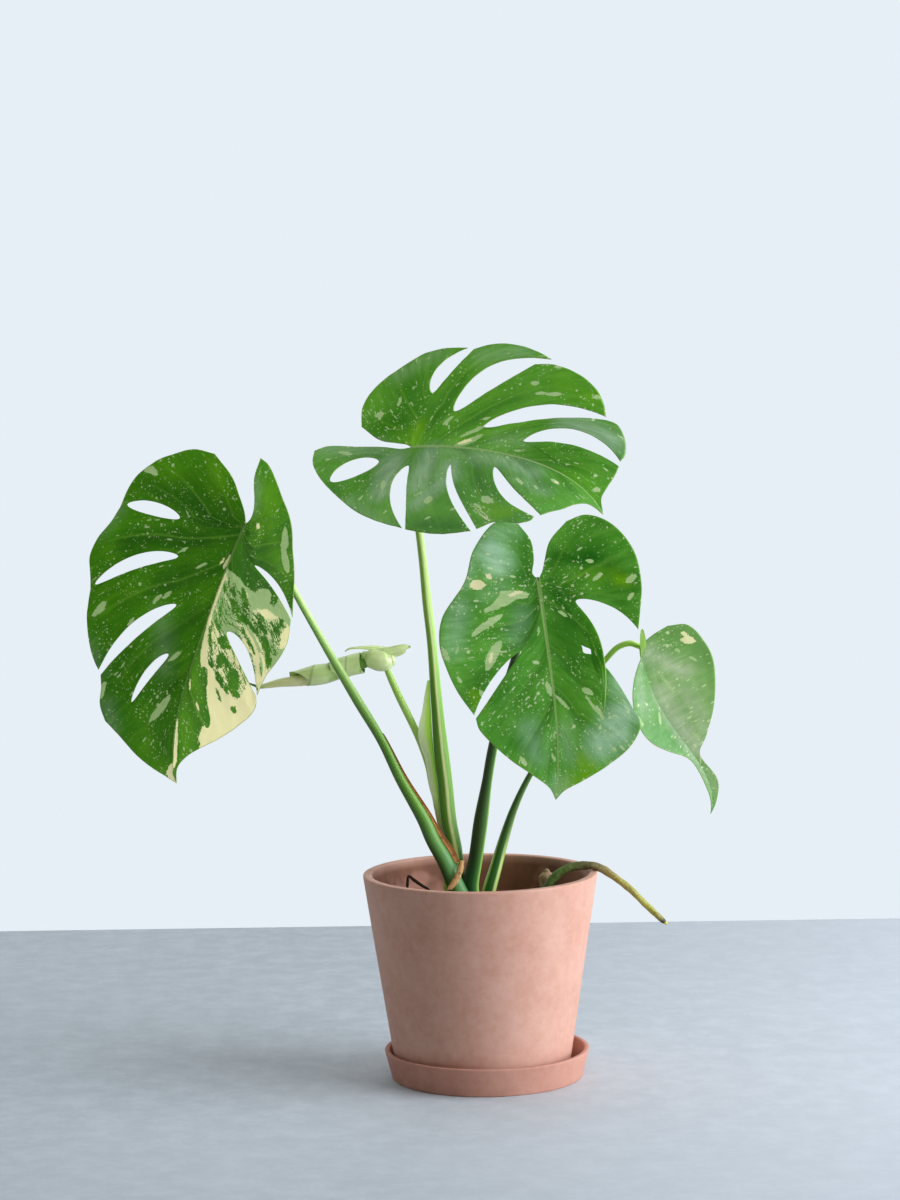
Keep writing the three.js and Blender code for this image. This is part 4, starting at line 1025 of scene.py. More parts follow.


# Relief of a lobe: a narrow groove and a broad valley along each vein, bells of the distance across from it, fading
# to the margin and to nothing at the lobe's edges and where the lobe is narrow. The tones are bells for the
# colours: vein on the vein, and painted shade in the valley beside it, weaker on side veins. inner is 0 at a slit's
# foot edges
def lobeRelief(lobe, flat, u, v):
    width = np.linalg.norm(flat[:, -1] - flat[:, 0], axis=1)[:, None]
    window = 1 - np.abs(2 * u - 1)[None] ** 6
    fade = (1 - 0.75 * v)[:, None]
    wide, broad = smoothStep((width - 5) / 20), smoothStep((width - 12) / 36)
    veinEnd, valleyShadeEnd = (smoothStep((1 - v) / length)[:, None] for length in (0.4, 0.7))
    relief, vein, valleyShade = (np.zeros(flat.shape[:2]) for _ in range(3))
    veins = lobe.get("veins", (0.5,))
    for at in veins:
        across = (u - at)[None] * width
        main = 1.0 if abs(at - 0.5) < 0.12 or len(veins) < 2 else 0.75
        groove = blade["veinDepth"] * bell(across, blade["veinWidth"]) * wide
        dip = blade["valleyDepth"] * bell(across, blade["valleyWidth"]) * broad
        relief -= (groove + dip) * fade * window
        vein = np.maximum(vein, main * bell(across, blade["veinTone"]) * veinEnd * window)
        # Painted shade in the valley beside the vein
        valleyShade = np.maximum(valleyShade, main * bell(across - 3, blade["valleyShadeWidth"]) * valleyShadeEnd * window * wide)
    toEdge = np.minimum(u, 1 - u)[None] * width
    inner = np.where(v[:, None] < blade["rootAt"], np.clip(toEdge / 2.5, 0, 1), 1.0)
    return relief, {"vein": vein, "valleyShade": valleyShade, "inner": inner}, (u - 0.5)[None] * width


# Share of a brush stroke or an enclosed area at each flat place: distance to its nearest line, made positive
# inside it, over a soft edge
def strokeShare(flat, stroke, soft):
    halfWidth, strength, places = stroke[0], stroke[1], np.array(stroke[2:], float)
    closed = halfWidth == 0
    start = places if closed else places[:-1]
    step = (np.roll(places, -1, 0) if closed else places[1:]) - start
    share = np.zeros(len(flat))
    reach = soft + halfWidth * 1.4
    near = np.all((flat > places.min(0) - reach) & (flat < places.max(0) + reach), axis=1)
    p = flat[near][:, None]
    along = np.clip(((p - start) * step).sum(-1) / (step**2).sum(-1), 0, 1)
    distance = np.linalg.norm(p - start - along[..., None] * step, axis=-1)
    if closed:
        end = start + step
        crosses = (start[:, 1] > p[..., 1]) != (end[:, 1] > p[..., 1])
        at = start[:, 0] + (p[..., 1] - start[:, 1]) / np.where(step[:, 1] == 0, 1e-9, step[:, 1]) * step[:, 0]
        inside = ((p[..., 0] < at) & crosses).sum(1) % 2 == 1
        depth = np.where(inside, 1, -1) * distance.min(1)
    else:
        nearest = distance.argmin(1)
        run = (nearest + along[np.arange(len(p)), nearest]) / len(step)
        taper = 1.35 * np.sqrt(1 - 0.9 * (2 * run - 1) ** 2) if soft < 10 else 1.0
        depth = halfWidth * taper - distance.min(1)
    share[near] = strength * smoothStep(0.5 + depth / soft)
    return share


# Soft edge of each kind of brush stroke, and of the green strokes that take mist and cream away again
# The painted sheen, shade and light through the blade have wide soft edges
brushSoft = {"mist": 2.6, "cream": 2.6, "gold": 12, "sheen": 24, "deep": 30, "lit": 30}
greenSoft = 4.5


def brushFields(leaf, flat):
    fields = {}
    for kind, soft in brushSoft.items():
        fields[kind] = np.zeros(len(flat))
        for stroke in leaf[kind]:
            fields[kind] = np.maximum(fields[kind], strokeShare(flat, stroke, soft))
    for stroke in leaf["green"]:
        keep = 1 - strokeShare(flat, stroke, greenSoft)
        fields["mist"] = fields["mist"] * keep
        fields["cream"] = fields["cream"] * keep
    return fields


# Sheet of one blade: every lobe between its two edges, with its relief, gentle waves and lift. The flat map holds
# the outline place, the grain map the distance across from the lobe's middle and along it
def bladeSheet(leaf):
    frames = midribFrames(leaf)
    root = blade["rootAt"]
    inner, outer = np.linspace(0, root, blade["innerRows"] + 1), np.linspace(root, 1, blade["outerRows"] + 1)
    v = np.concatenate([inner, outer[1:]])
    out = np.clip((v - root) / (1 - root), 0, 1)[:, None]
    parts = {key: [] for key in ("corners", "flat", "grain", "vein", "valleyShade", "inner", "edge", "quads")}
    total = 0
    for half, shape in enumerate(leaf["halves"]):
        edges = [[smoothLine([(0, 0), *shape["sinus"]], v)]]
        for slit in shape["slits"]:
            basal, distal = slitEdges(slit, v)
            edges[-1].append(basal)
            edges.append([distal])
        tip = leaf["length"] * (0.9 + 0.1 * v)
        edges[-1].append(np.stack([tip, 0 * tip], 1))
        for index, (lobe, (before, after)) in enumerate(zip(shape["lobes"], edges)):
            rim = np.vstack([before[-1:], *[[p] for p in lobe["margin"]], after[-1:]])
            width = np.linalg.norm(np.diff(rim, axis=0), axis=1).sum()
            u = np.linspace(0, 1, int(np.clip(width / blade["spacing"], 20, 150)) + 1)
            flat = lobeFlat(rim, before, after, u, v)
            relief, tones, across = lobeRelief(lobe, flat, u, v)
            a, c = flat[..., 0], flat[..., 1]
            spot = np.stack([a, c * (1 - 2 * half)], -1)
            wave = sum(height * bumps(spot, length, seed) * np.clip(c / full, 0, 1)
                       for height, length, seed, full in blade["waves"])
            calm = np.clip((leaf["length"] - a) / blade["calmTip"], 0, 1)
            lift = lobe.get("lift", 0) * out**1.5 + (relief * np.clip(c / blade["calmRib"], 0, 1) + wave) * calm
            run = np.linalg.norm(flat - flat[:1], axis=-1)
            parts["corners"].append(onBlade(leaf, frames, half, a, c, lift).reshape(-1, 3))
            parts["flat"].append(spot.reshape(-1, 2))
            parts["grain"].append(pairs(across + blade["patternStep"] * (index + 6 * half), run))
            for key, tone in tones.items():
                parts[key].append(tone.ravel())
            parts["edge"].append(np.minimum(np.linalg.norm(flat - flat[-1:], axis=-1), 50).ravel())
            parts["quads"].append(gridQuads(len(v), len(u), total, flip=half == 0))
            total += a.size
    return frames, {key: np.concatenate(value) for key, value in parts.items()}


# Gives a sheet its thickness: every corner goes half of it up and half of it down along its mean normal, and
# a wall joins the two along each free edge. The quads come as upper side, under side and walls
def thicken(corners, quads, thickness):
    first, shared = weld(corners)
    normal = np.cross(corners[quads[:, 2]] - corners[quads[:, 0]], corners[quads[:, 3]] - corners[quads[:, 1]])
    gathered = np.zeros((len(first), 3))
    for k in range(4):
        np.add.at(gathered, shared[quads[:, k]], normal)
    count = len(corners)
    half = unit(gathered)[shared] * (np.broadcast_to(thickness, count)[:, None] / 2)
    solid = np.vstack([corners + half, corners - half])
    ends = np.concatenate([np.stack([quads[:, k], quads[:, (k + 1) % 4]], 1) for k in range(4)])
    welded = shared[ends]
    real = welded[:, 0] != welded[:, 1]
    ends, welded = ends[real], welded[real]
    forward = welded[:, 0] * len(first) + welded[:, 1]
    backward = welded[:, 1] * len(first) + welded[:, 0]
    free = ends[~np.isin(forward, backward)]
    walls = np.stack([free[:, 1], free[:, 0], free[:, 0] + count, free[:, 1] + count], 1)
    return solid, [quads, quads[:, ::-1] + count, walls]


# Midrib: a tapering rib, its section an ellipse that lies under the blade
def midribRib(leaf, frames):
    a = np.linspace(-1.5, leaf["length"] - 1.5, blade["ridgeSteps"])
    place, side, up = frameAt(frames, a)
    taper = 1 - 0.8 * np.clip(a / leaf["length"], 0, 1)
    width = blade["ridgeWidth"] * taper
    depth = blade["ridgeDepth"] * taper * smoothStep((a + 4) / 14)
    turn = np.linspace(0, 2 * np.pi, blade["ridgeSides"] + 1)
    reach = (width[:, None] * np.cos(turn))[..., None] * side[:, None]
    rise = (depth[:, None] * (np.sin(turn) - 1.0))[..., None] * up[:, None]
    corners = place[:, None] + reach + rise
    corners[:, -1] = corners[:, 0]
    corners[0], corners[-1] = corners[0].mean(0), corners[-1].mean(0)
    return corners.reshape(-1, 3), gridQuads(*corners.shape[:2])


# Scales of a blade's patterns. Streaks and flecks are drawn out along the veins by their stretch of the grain map,
# and the shake pushes the dots a little out of their cells' places
pattern = {
    "streakStretch": (1.0, 0.16, 1),
    "fleckStretch": (1.0, 0.3, 1),
    "clouds": 16.0,
    "streaks": 240.0,
    "net": 300.0,
    "patches": 45.0,
    "dotClouds": 26.0,
    "fineDots": 560.0,
    "dots": 300.0,
    "blots": 140.0,
    "flecks": 340.0,
    "shake": 600.0,
    "shakeReach": (0.0014, 0.0014, 0.0014),
    "ragged": 420.0,
    "fine": 620.0,
    "haze": 700.0,
    "waves": 110.0,
    "underClouds": 20.0,
    "underDots": 520.0,
    "relief": 0.0005,
    "ribEdge": 0.0004,
    "ribTip": 0.0003,
}


# Dots: each cell has a seeded tone and holds a dot only above a limit; the dot's radius grows with the tone
def specks(f, where, scale, cloud, share, small, large):
    over = f.minus(f.plus(f.cellTone(where, scale), cloud), 1 - share)
    radius = f.between(over, 0.0, share, small, large)
    inside = f.between(f.minus(radius, f.cells(where, scale)), -0.02, 0.03)
    return f.times(inside, f.math("GREATER_THAN", over, 0.0))


# Misty or cream area: its soft field made ragged by noise and cut sharply, but empty where the field is nearly
# nothing and full where it is nearly whole
def raggedArea(f, field, rough):
    cut = f.times(f.between(f.plus(field, rough), 0.46, 0.54), f.between(field, 0.05, 0.16))
    return f.larger(cut, f.between(field, 0.93, 0.99))


# Upper side. Green in soft clouds, long streaks beside the veins, painted shade in the valleys beside the veins and
# pale lines on the veins, then soft areas of painted shade, of painted light coming through the blade in saturated
# and in yellow greens, and of painted sheen; over it three sizes of dots, short flecks along the veins, the misty
# and cream areas with ragged streaky edges, and a thin pale margin. The light from behind takes the same pattern.
def leafFinish(name, look, length):
    f = Finish(name)
    place = f.object()
    streakPlace, fleckPlace = f.map("grain", pattern["streakStretch"]), f.map("grain", pattern["fleckStretch"])
    vein, valleyShade, edge, inner = (f.field(key) for key in ("vein", "valleyShade", "edge", "inner"))
    mist, cream, gold, sheen, deep, lit = (f.field(key) for key in brushSoft)
    clouds = f.noise(place, pattern["clouds"])
    streaks = f.noise(streakPlace, pattern["streaks"], 2.0, 0.6)
    net = f.cells(place, pattern["net"], "DISTANCE_TO_EDGE")
    patchy = f.noise(place, pattern["patches"], 3.0, 0.6)
    green = f.mix(f.between(clouds, 0.35, 0.65), look["dark"], look["green"])
    green = f.tint(green, look["bright"], streaks, 0.4, 0.72, 0.36)
    # Painted light: saturated green where light comes through the blade
    green = f.mix(f.times(lit, f.between(patchy, 0.3, 0.6, 0.5, 1.0)), green, look["lit"])
    # Painted shade: the deep areas, and the valleys beside the veins
    green = f.blend(green, look["deep"], deep, 0.85)
    green = f.blend(green, look["deep"], valleyShade, look["valleyShadeShare"])
    green = f.mix(f.between(net, 0.0, 0.1, 0.16, 0.0), green, look["dark"])
    # Painted light coming through the blade, in yellow green patches
    green = f.mix(f.times(gold, f.between(patchy, 0.35, 0.55)), green, look["gold"])
    green = f.blend(green, look["vein"], vein, look["veinShare"])
    through = f.mix(1.0, green, look["glow"], "MULTIPLY")
    # Painted sheen: a pale bluish colour where light is reflected, and paler light from behind there
    sheenArea = f.times(sheen, f.between(streaks, 0.3, 0.7, 0.6, 1.0))
    green = f.mix(sheenArea, green, look["sheen"])
    through = f.blend(through, look["sheenGlow"], sheenArea, 0.45)

    spot = f.axes(f.map("flat"))
    ribWidth = f.between(spot[0], 0.0, length, look["ribWidth"], pattern["ribTip"])
    offRib = f.minus(f.math("ABSOLUTE", spot[1]), ribWidth)
    rib = f.between(offRib, -pattern["ribEdge"], pattern["ribEdge"], 1.0, 0.0)
    rib = f.times(rib, f.between(spot[0], -0.004, 0.0, 0.0, look["ribShare"]))
    green = f.mix(rib, green, look["rib"])
    through = f.mix(rib, through, look["ribGlow"])

    dotCloud = f.between(f.noise(place, pattern["dotClouds"]), 0.32, 0.68, -0.2, 0.2)
    shake = f.add("TexNoise", {"Vector": place, "Scale": pattern["shake"], "Detail": 1.0}).outputs["Color"]
    shake = f.add("VectorMath", {0: shake, 1: pattern["shakeReach"]}, operation="MULTIPLY").outputs[0]
    bent = f.add("VectorMath", {0: place, 1: shake}, operation="ADD").outputs[0]
    fineDots = specks(f, bent, pattern["fineDots"], dotCloud, look["fineDots"], 0.08, 0.3)
    dots = specks(f, bent, pattern["dots"], dotCloud, look["dots"], 0.08, 0.3)
    blots = specks(f, bent, pattern["blots"], dotCloud, look["blots"], 0.07, 0.22)
    flecks = f.times(specks(f, fleckPlace, pattern["flecks"], dotCloud, look["flecks"], 0.08, 0.28), inner)
    small = f.larger(f.times(fineDots, 0.75), f.times(dots, 0.9))
    pale = f.times(f.larger(small, f.larger(blots, f.times(flecks, 0.9))), look["speckShare"])
    colour = f.mix(pale, green, look["speck"])

    ragged = f.minus(f.noise(streakPlace, pattern["ragged"], 5.0, 0.7), 0.5)
    fine = f.minus(f.noise(place, pattern["fine"], 3.0, 0.6), 0.5)
    rough = f.plus(f.times(ragged, 1.9), f.times(fine, 1.1))
    misty, full = raggedArea(f, mist, rough), raggedArea(f, cream, rough)
    haze = f.noise(streakPlace, pattern["haze"], 3.0, 0.6)
    colour = f.mix(misty, colour, f.mix(f.between(haze, 0.42, 0.6), look["mist"], look["mist2"]))
    colour = f.mix(full, colour, f.mix(f.between(clouds, 0.35, 0.7), look["cream"], look["cream2"]))
    colour = f.mix(f.times(f.between(edge, 0.25, 1.0, 1.0, 0.0), look["edgeShare"]), colour, look["edge"])
    through = f.blend(through, look["glowMist"], pale, 0.75)
    through = f.mix(misty, through, look["glowMist"])
    through = f.mix(full, through, look["glowPale"])

    height = f.plus(f.times(streaks, 0.6), f.times(net, 0.6))
    height = f.plus(height, f.noise(place, pattern["waves"], 2.0))
    inputs = {
        "Base Color": colour,
        "Roughness": f.between(clouds, 0.3, 0.7, look["rough"] - 0.04, look["rough"] + 0.05),
        "Specular IOR Level": look["gloss"],
        "Normal": f.bump(height, pattern["relief"], look["bump"]),
    }
    f.thinSurface(inputs, through, f.between(full, 0.0, 1.0, look["thin"], look["thinPale"]))
    return f.material


# Underside: paler and duller, the light areas showing through it, with veins that stand out
def underFinish(name, look):
    f = Finish(name)
    place = f.object()
    vein, mist, cream = (f.field(key) for key in ("vein", "mist", "cream"))
    clouds = f.noise(place, pattern["underClouds"])
    colour = f.mix(f.between(clouds, 0.35, 0.65), look["underDark"], look["under"])
    ragged = f.noise(f.map("grain", pattern["streakStretch"]), pattern["ragged"], 5.0, 0.7)
    rough = f.times(f.minus(ragged, 0.5), 1.9)
    misty, full = (f.between(f.plus(field, rough), 0.44, 0.56) for field in (mist, cream))
    dots = f.between(f.noise(place, pattern["underDots"], 2.0, 0.55), 0.64, 0.7)
    colour = f.blend(colour, look["speck"], dots, 0.4)
    colour = f.blend(colour, look["mist"], misty, 0.6)
    colour = f.blend(colour, look["cream"], full, 0.9)
    colour = f.blend(colour, look["vein"], vein, 0.7)
    net = f.cells(place, pattern["net"], "DISTANCE_TO_EDGE")
    normal = f.bump(f.plus(net, f.times(vein, -1.5)), pattern["relief"], 0.6)
    share = f.between(cream, 0.4, 0.6, look["underThin"], 0.94)
    through = f.mix(f.between(cream, 0.4, 0.6), look["underGlow"], look["glowPale"])
    f.thinSurface({"Base Color": colour, "Roughness": 0.55, "Normal": normal}, through, share)
    return f.material


# Rib and cut edge of a blade: pale green with darker fibres
def ribFinish(name, pale, green, share, fibreScale=240.0):
    f = Finish(name)
    fibres = f.noise(f.object(), fibreScale)
    colour = f.mix(f.between(fibres, 0.35, 0.7), pale, green)
    inputs = {"Base Color": colour, "Roughness": 0.45, "Normal": f.bump(fibres, 0.0003, 0.5)}
    f.thinSurface(inputs, pale, share)
    return f.material


# Looks: colours by name; glows are the colours of light from behind; shares say how much of a colour shows; thin is
# how much light comes through; dots, blots and flecks are the shares of cells that hold one. lit and gold are
# colours of painted light coming through the blade, deep the colour of painted shade, and the pale bluish sheen
# colour and its glow are painted sheen
commonLook = {
    "gold": (92, 152, 4),
    "vein": (104, 162, 70),
    "veinShare": 0.38,
    "valleyShadeShare": 0.5,
    "sheen": (206, 220, 210),
    "speck": (226, 236, 190),
    "speckShare": 0.85,
    "fineDots": 0.34,
    "dots": 0.36,
    "blots": 0.16,
    "flecks": 0.26,
    "mist": (166, 196, 134),
    "mist2": (194, 214, 160),
    "cream": (246, 236, 188),
    "cream2": (250, 243, 208),
    "edge": (168, 190, 100),
    "edgeShare": 0.45,
    "ribShare": 0.85,
    "ribWidth": 0.0014,
    "glow": (3.3, 2.2, 1.1, 1),
    "glowMist": (0.64, 0.82, 0.38, 1),
    "glowPale": (1.0, 0.95, 0.66, 1),
    "sheenGlow": (0.5, 0.62, 0.42, 1),
    "ribGlow": (0.66, 0.86, 0.4, 1),
    "thin": 0.42,
    "thinPale": 0.6,
    "bump": 0.5,
    "rough": 0.4,
    "gloss": 0.36,
    "under": (120, 152, 80),
    "underDark": (94, 130, 62),
    "underGlow": (0.88, 0.96, 0.72, 1),
    "underThin": 0.75,
}
looks = {
    "leaf_left": {
        "dark": (36, 98, 6), "green": (56, 124, 10), "bright": (88, 150, 26), "deep": (20, 74, 10),
        "lit": (80, 146, 6), "rib": (168, 200, 104), "ribShare": 0.6, "ribWidth": 0.0011, "valleyShadeShare": 0.45,
        "fineDots": 0.58, "dots": 0.38, "blots": 0.14, "flecks": 0.34,
    },
    "leaf_top": {
        "dark": (60, 126, 36), "green": (80, 150, 54), "bright": (110, 174, 86), "deep": (34, 100, 18),
        "lit": (86, 156, 18), "rib": (196, 226, 146),
        "dots": 0.26, "blots": 0.08, "flecks": 0.28,
    },
    "leaf_front": {
        "dark": (54, 124, 36), "green": (80, 152, 58), "bright": (114, 180, 92), "deep": (26, 88, 16),
        "lit": (6, 80, 0), "rib": (180, 214, 120), "ribShare": 0.7, "ribWidth": 0.0017, "gloss": 0.26,
        "sheen": (204, 232, 214), "sheenGlow": (0.6, 0.9, 0.62, 1),
        "fineDots": 0.48, "dots": 0.34, "flecks": 0.36,
    },
    "leaf_right": {
        "dark": (90, 146, 88), "green": (112, 164, 108), "bright": (140, 188, 138), "deep": (86, 136, 80),
        "lit": (100, 160, 60), "rib": (170, 206, 120), "ribShare": 0.6, "ribWidth": 0.0009,
        "sheen": (216, 216, 204), "sheenGlow": (0.8, 0.7, 0.6, 1), "speckShare": 1.0,
        "fineDots": 0.3, "dots": 0.24, "blots": 0.06, "flecks": 0.5,
    },
}


def makeLeaf(leaf):
    name = leaf["name"]
    frames, sheet = bladeSheet(leaf)
    taper = np.clip(sheet["edge"] / blade["rimTaper"], 0.65, 1)
    solid, sides = thicken(sheet["corners"], sheet["quads"], blade["thickness"] * taper)
    ribCorners, ribQuads = midribRib(leaf, frames)
    corners, quads = np.vstack([solid, ribCorners]), np.vstack([*sides, ribQuads + len(solid)])
    twice = lambda values: np.concatenate([values, values, np.zeros((len(ribCorners), *values.shape[1:]))])
    fields = {key: twice(sheet[key]) for key in ("vein", "valleyShade", "edge", "inner")}
    fields.update({key: twice(values) for key, values in brushFields(leaf, sheet["flat"]).items()})
    maps = {key: twice(sheet[key]) * millimetre for key in ("flat", "grain")}
    materialOf = np.repeat([0, 1, 2, 3], [*map(len, sides), len(ribQuads)])
    look = {**commonLook, **looks[name]}
    materials = [
        leafFinish(name + "_upper", look, leaf["length"] * millimetre),
        underFinish(name + "_under", look),
        ribFinish(name + "_margin", look["edge"], look["bright"], 0.6),
        ribFinish(name + "_midrib", look["rib"], look["edge"], 0.85),
    ]
    piece = makePiece(name, corners, quads, materials, maps, fields, materialOf, materialOf == 2)
    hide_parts(leaf["node"])
    print(name, "made:", len(piece.data.polygons), "faces")


for leaf in (leftLeaf, topLeaf, frontLeaf, rightLeaf):
    makeLeaf(leaf)


# Stalk finish: bands of colour round the stalk (0 back, 0.25 left, 0.5 front, 0.75 right), one set for its middle
# and others towards its top and its foot, which fade over the given lengths in metres, and fibres along it. Every
# set is lighter towards the right, painted light where the lamp falls on the stalk, and the set for the top is
# lighter again, painted light
def stalkFinish(stalk):
    f = Finish(stalk["name"] + "_skin")
    turn, run = f.axes(f.map("stalk"))[:2]
    wander = f.minus(f.noise(f.map("stalk", (0.6, 6, 1)), 3.0, 2.0), 0.5)
    turned = f.plus(turn, f.times(wander, 0.03))
    colour = f.ramp(turned, stalk["bands"])
    if "top" in stalk:
        colour = f.mix(f.between(run, *stalk["topFrom"], smooth=True), colour, f.ramp(turned, stalk["top"]))
    if "foot" in stalk:
        share = f.between(run, stalk["footEnd"] * 0.2, stalk["footEnd"], 1.0, 0.0, smooth=True)
        colour = f.mix(share, colour, f.ramp(turned, stalk["foot"]))
    fibres = f.noise(f.map("stalk", (1, 0.4, 1)), 9.0, 1.0)
    clouds = f.noise(f.object(), 60.0)
    shade = f.mix(f.between(fibres, 0.35, 0.7), (0.7, 0.74, 0.66, 1), (1.14, 1.12, 1.1, 1))
    colour = f.mix(0.35, colour, f.mix(1.0, colour, shade, "MULTIPLY"))
    normal = f.bump(f.plus(fibres, f.times(clouds, 0.4)), 0.0003, 0.15)
    f.surface({"Base Color": colour, "Roughness": 0.42, "Specular IOR Level": 0.38, "Normal": normal})
    return f.material


stemFoot = 150
# The bands of each stalk are lighter towards the right, painted light where the lamp falls on it, and the top sets
# are lighter again, painted light
stalks = [
    {
        "name": "stalk_left", "node": "petiole_left", "slot": "stalk_green",
        "line": [(-13, -13, stemFoot), (-21, -9, 166), (-30, -8, 187), (-39.5, -8, 204.5), (-47, -9, 222),
                 (-66, -13, 257), (-82, -18, 292), (-101.5, -23, 326.5), (-120.5, -28, 361), (-139, -34, 395.5),
                 (-159, -41, 434), (-173, -43.5, 457), (-185.5, -46, 472), (-189.6, -53.6, 476.6)],
        "radius": [7, 7.3, 7, 6.4, 5.8, 4.4, 4, 4.1, 3.4, 3, 3, 3.1, 3.2, 2.3],
        "bands": [(0.0, (96, 150, 48)), (0.2, (48, 86, 24)), (0.33, (62, 108, 28)), (0.45, (92, 146, 42)),
                  (0.62, (120, 172, 56)), (0.8, (104, 156, 50))],
        "top": [(0.0, (200, 234, 132)), (0.2, (116, 166, 66)), (0.38, (124, 174, 74)), (0.5, (180, 222, 122)),
                (0.68, (216, 246, 154))],
        "topFrom": (0.14, 0.29),
        "foot": [(0.0, (56, 110, 52)), (0.2, (36, 76, 34)), (0.38, (50, 100, 46)), (0.5, (106, 168, 92)),
                 (0.6, (76, 134, 64)), (0.85, (58, 110, 50))],
        "footEnd": 0.11,
    },
    {
        "name": "stalk_top", "node": "petiole_top", "slot": "stalk_green",
        "line": [(-18, 10, stemFoot), (-19, 9, 176), (-21, 10, 193), (-26, 11, 218), (-29, 12, 253),
                 (-32.5, 13, 287), (-35, 14, 321), (-38.5, 16, 372), (-42, 18, 406), (-45, 21, 440),
                 (-49.5, 25, 480), (-52, 28.5, 510), (-50, 27, 526), (-52.3, 20.9, 534.9)],
        "radius": [5.5, 5.8, 6.2, 6.6, 6.4, 6, 5, 4, 3.9, 3.4, 3.1, 3, 3, 2.3],
        "bands": [(0.0, (124, 178, 68)), (0.26, (82, 128, 36)), (0.48, (104, 152, 44)), (0.51, (224, 232, 160)),
                  (0.545, (220, 230, 156)), (0.575, (126, 182, 66)), (0.8, (164, 210, 96))],
        "top": [(0.0, (190, 226, 120)), (0.26, (130, 178, 62)), (0.46, (172, 210, 90)), (0.51, (232, 242, 172)),
                (0.545, (230, 242, 168)), (0.58, (184, 224, 108)), (0.8, (210, 238, 140))],
        "topFrom": (0.15, 0.32),
        "foot": [(0.0, (100, 156, 64)), (0.26, (66, 116, 32)), (0.46, (74, 124, 40)), (0.5, (200, 214, 120)),
                 (0.55, (184, 206, 110)), (0.585, (90, 152, 62)), (0.8, (120, 180, 100))],
        "footEnd": 0.08,
    },
    {
        "name": "stalk_front", "node": "petiole_front", "slot": "stalk_green",
        "line": [(-7, 2, stemFoot), (-8, 2, 164), (-4, 1, 185), (1.3, -2, 220), (7, -8, 255),
                 (11.5, -14, 281), (23, -30, 334), (32, -42, 365), (43, -62, 404), (49.5, -78, 427),
                 (50, -88.6, 430.8)],
        "radius": [6.8, 6.8, 6.2, 6, 4.3, 4.1, 3.4, 3.2, 3.1, 3, 2.2],
        "bands": [(0.0, (60, 90, 34)), (0.24, (84, 62, 38)), (0.34, (44, 60, 22)), (0.5, (50, 78, 24)),
                  (0.63, (60, 104, 32)), (0.69, (140, 186, 78)), (0.77, (88, 140, 50))],
        "foot": [(0.0, (40, 90, 38)), (0.25, (64, 62, 40)), (0.36, (26, 72, 32)), (0.5, (26, 80, 32)),
                 (0.6, (54, 110, 42)), (0.68, (158, 200, 100)), (0.78, (90, 156, 64))],
        "footEnd": 0.06,
    },
    {
        "name": "stalk_right", "node": "petiole_right", "slot": "stalk_pale",
        "line": [(6, 14, stemFoot), (9, 13, 162), (13, 13, 175), (20.5, 14, 200), (29.5, 15, 226), (41.5, 17, 251),
                 (70, 22, 296), (96, 27, 335), (110, 30, 352), (121, 32, 362.5), (131, 32.5, 365.5),
                 (138.9, 31.5, 363)],
        "radius": [6, 5.8, 5.4, 4.5, 3.3, 2.6, 2.4, 2.4, 2.4, 2.5, 2.6, 2.4],
        "bands": [(0.0, (110, 160, 66)), (0.28, (112, 144, 70)), (0.36, (52, 82, 32)), (0.5, (62, 96, 38)),
                  (0.62, (68, 104, 40)), (0.68, (148, 176, 92)), (0.76, (100, 138, 60))],
        "top": [(0.0, (190, 226, 130)), (0.25, (204, 232, 150)), (0.4, (176, 216, 100)), (0.55, (170, 212, 88)),
                (0.75, (206, 234, 152))],
        "topFrom": (0.18, 0.22),
        "foot": [(0.0, (110, 160, 66)), (0.27, (206, 214, 152)), (0.36, (190, 204, 132)), (0.4, (44, 100, 34)),
                 (0.55, (56, 112, 40)), (0.59, (212, 228, 152)), (0.66, (184, 212, 112)), (0.72, (78, 144, 52))],
        "footEnd": 0.075,
    },
    {
        "name": "stalk_new", "node": "petiole_new", "slot": "stalk_pale",
        "line": [(-27, 22, stemFoot), (-29, 21.5, 190), (-31, 21.5, 213), (-35, 21, 230), (-39.5, 20, 248),
                 (-42.5, 19, 265), (-49, 18, 285), (-56.5, 18, 302), (-65.5, 19, 321), (-73, 20, 338),
                 (-76.3, 20, 346.3)],
        "radius": [3.8, 3.6, 3.4, 3.3, 3.3, 3.3, 3.3, 3.2, 3.2, 3, 2.8],
        "bands": [(0.0, (176, 214, 108)), (0.28, (170, 208, 98)), (0.5, (184, 224, 112)), (0.7, (196, 232, 124))],
    },
]


# Stalk section: nearly round, with a shallow channel behind, two low ridges beside it and faint waves along it
def stalkRings(t, turn, run):
    back = np.minimum(turn, 1 - turn)
    channel = -0.22 * bell(back, 0.07) + 0.05 * bell(back - 0.12, 0.04)
    return 1 + channel + 0.015 * np.sin(run / 23 + 4 * np.pi * turn) + 0.01 * np.sin(run / 9.0)


for stalk in stalks:
    corners, quads, along, _ = tube(stalk["line"], stalk["radius"], 72, 220, stalkRings, (0.3, 1.0), True)
    piece = makePiece(stalk["name"], corners, quads, [stalkFinish(stalk)], maps={"stalk": along})
    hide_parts(stalk["node"])
print("stalks made")


# Brown woody finish of the stem and small roots: long cracks and pale dry flakes
def barkFinish(name, dark, brown, pale, crackScale=150.0, flakeScale=90.0):
    f = Finish(name)
    cracks = f.noise(f.object((1, 1, 0.35)), crackScale, 5.0, 0.65)
    flakes = f.noise(f.object(), flakeScale)
    colour = f.mix(f.between(cracks, 0.35, 0.65), dark, brown)
    colour = f.tint(colour, pale, flakes, 0.58, 0.68, 0.7)
    f.surface({"Base Color": colour, "Roughness": 0.85, "Normal": f.bump(cracks, 0.0012, 0.8)})
    return f.material


crown = {
    "x": -9.0,
    "y": 5.0,
    "foot": 100.0,
    "top": 149.7,
    "radius": 20.0,
    "waistHeight": 136.0,
    "topRadius": 27.0,
    "sides": 90,
}


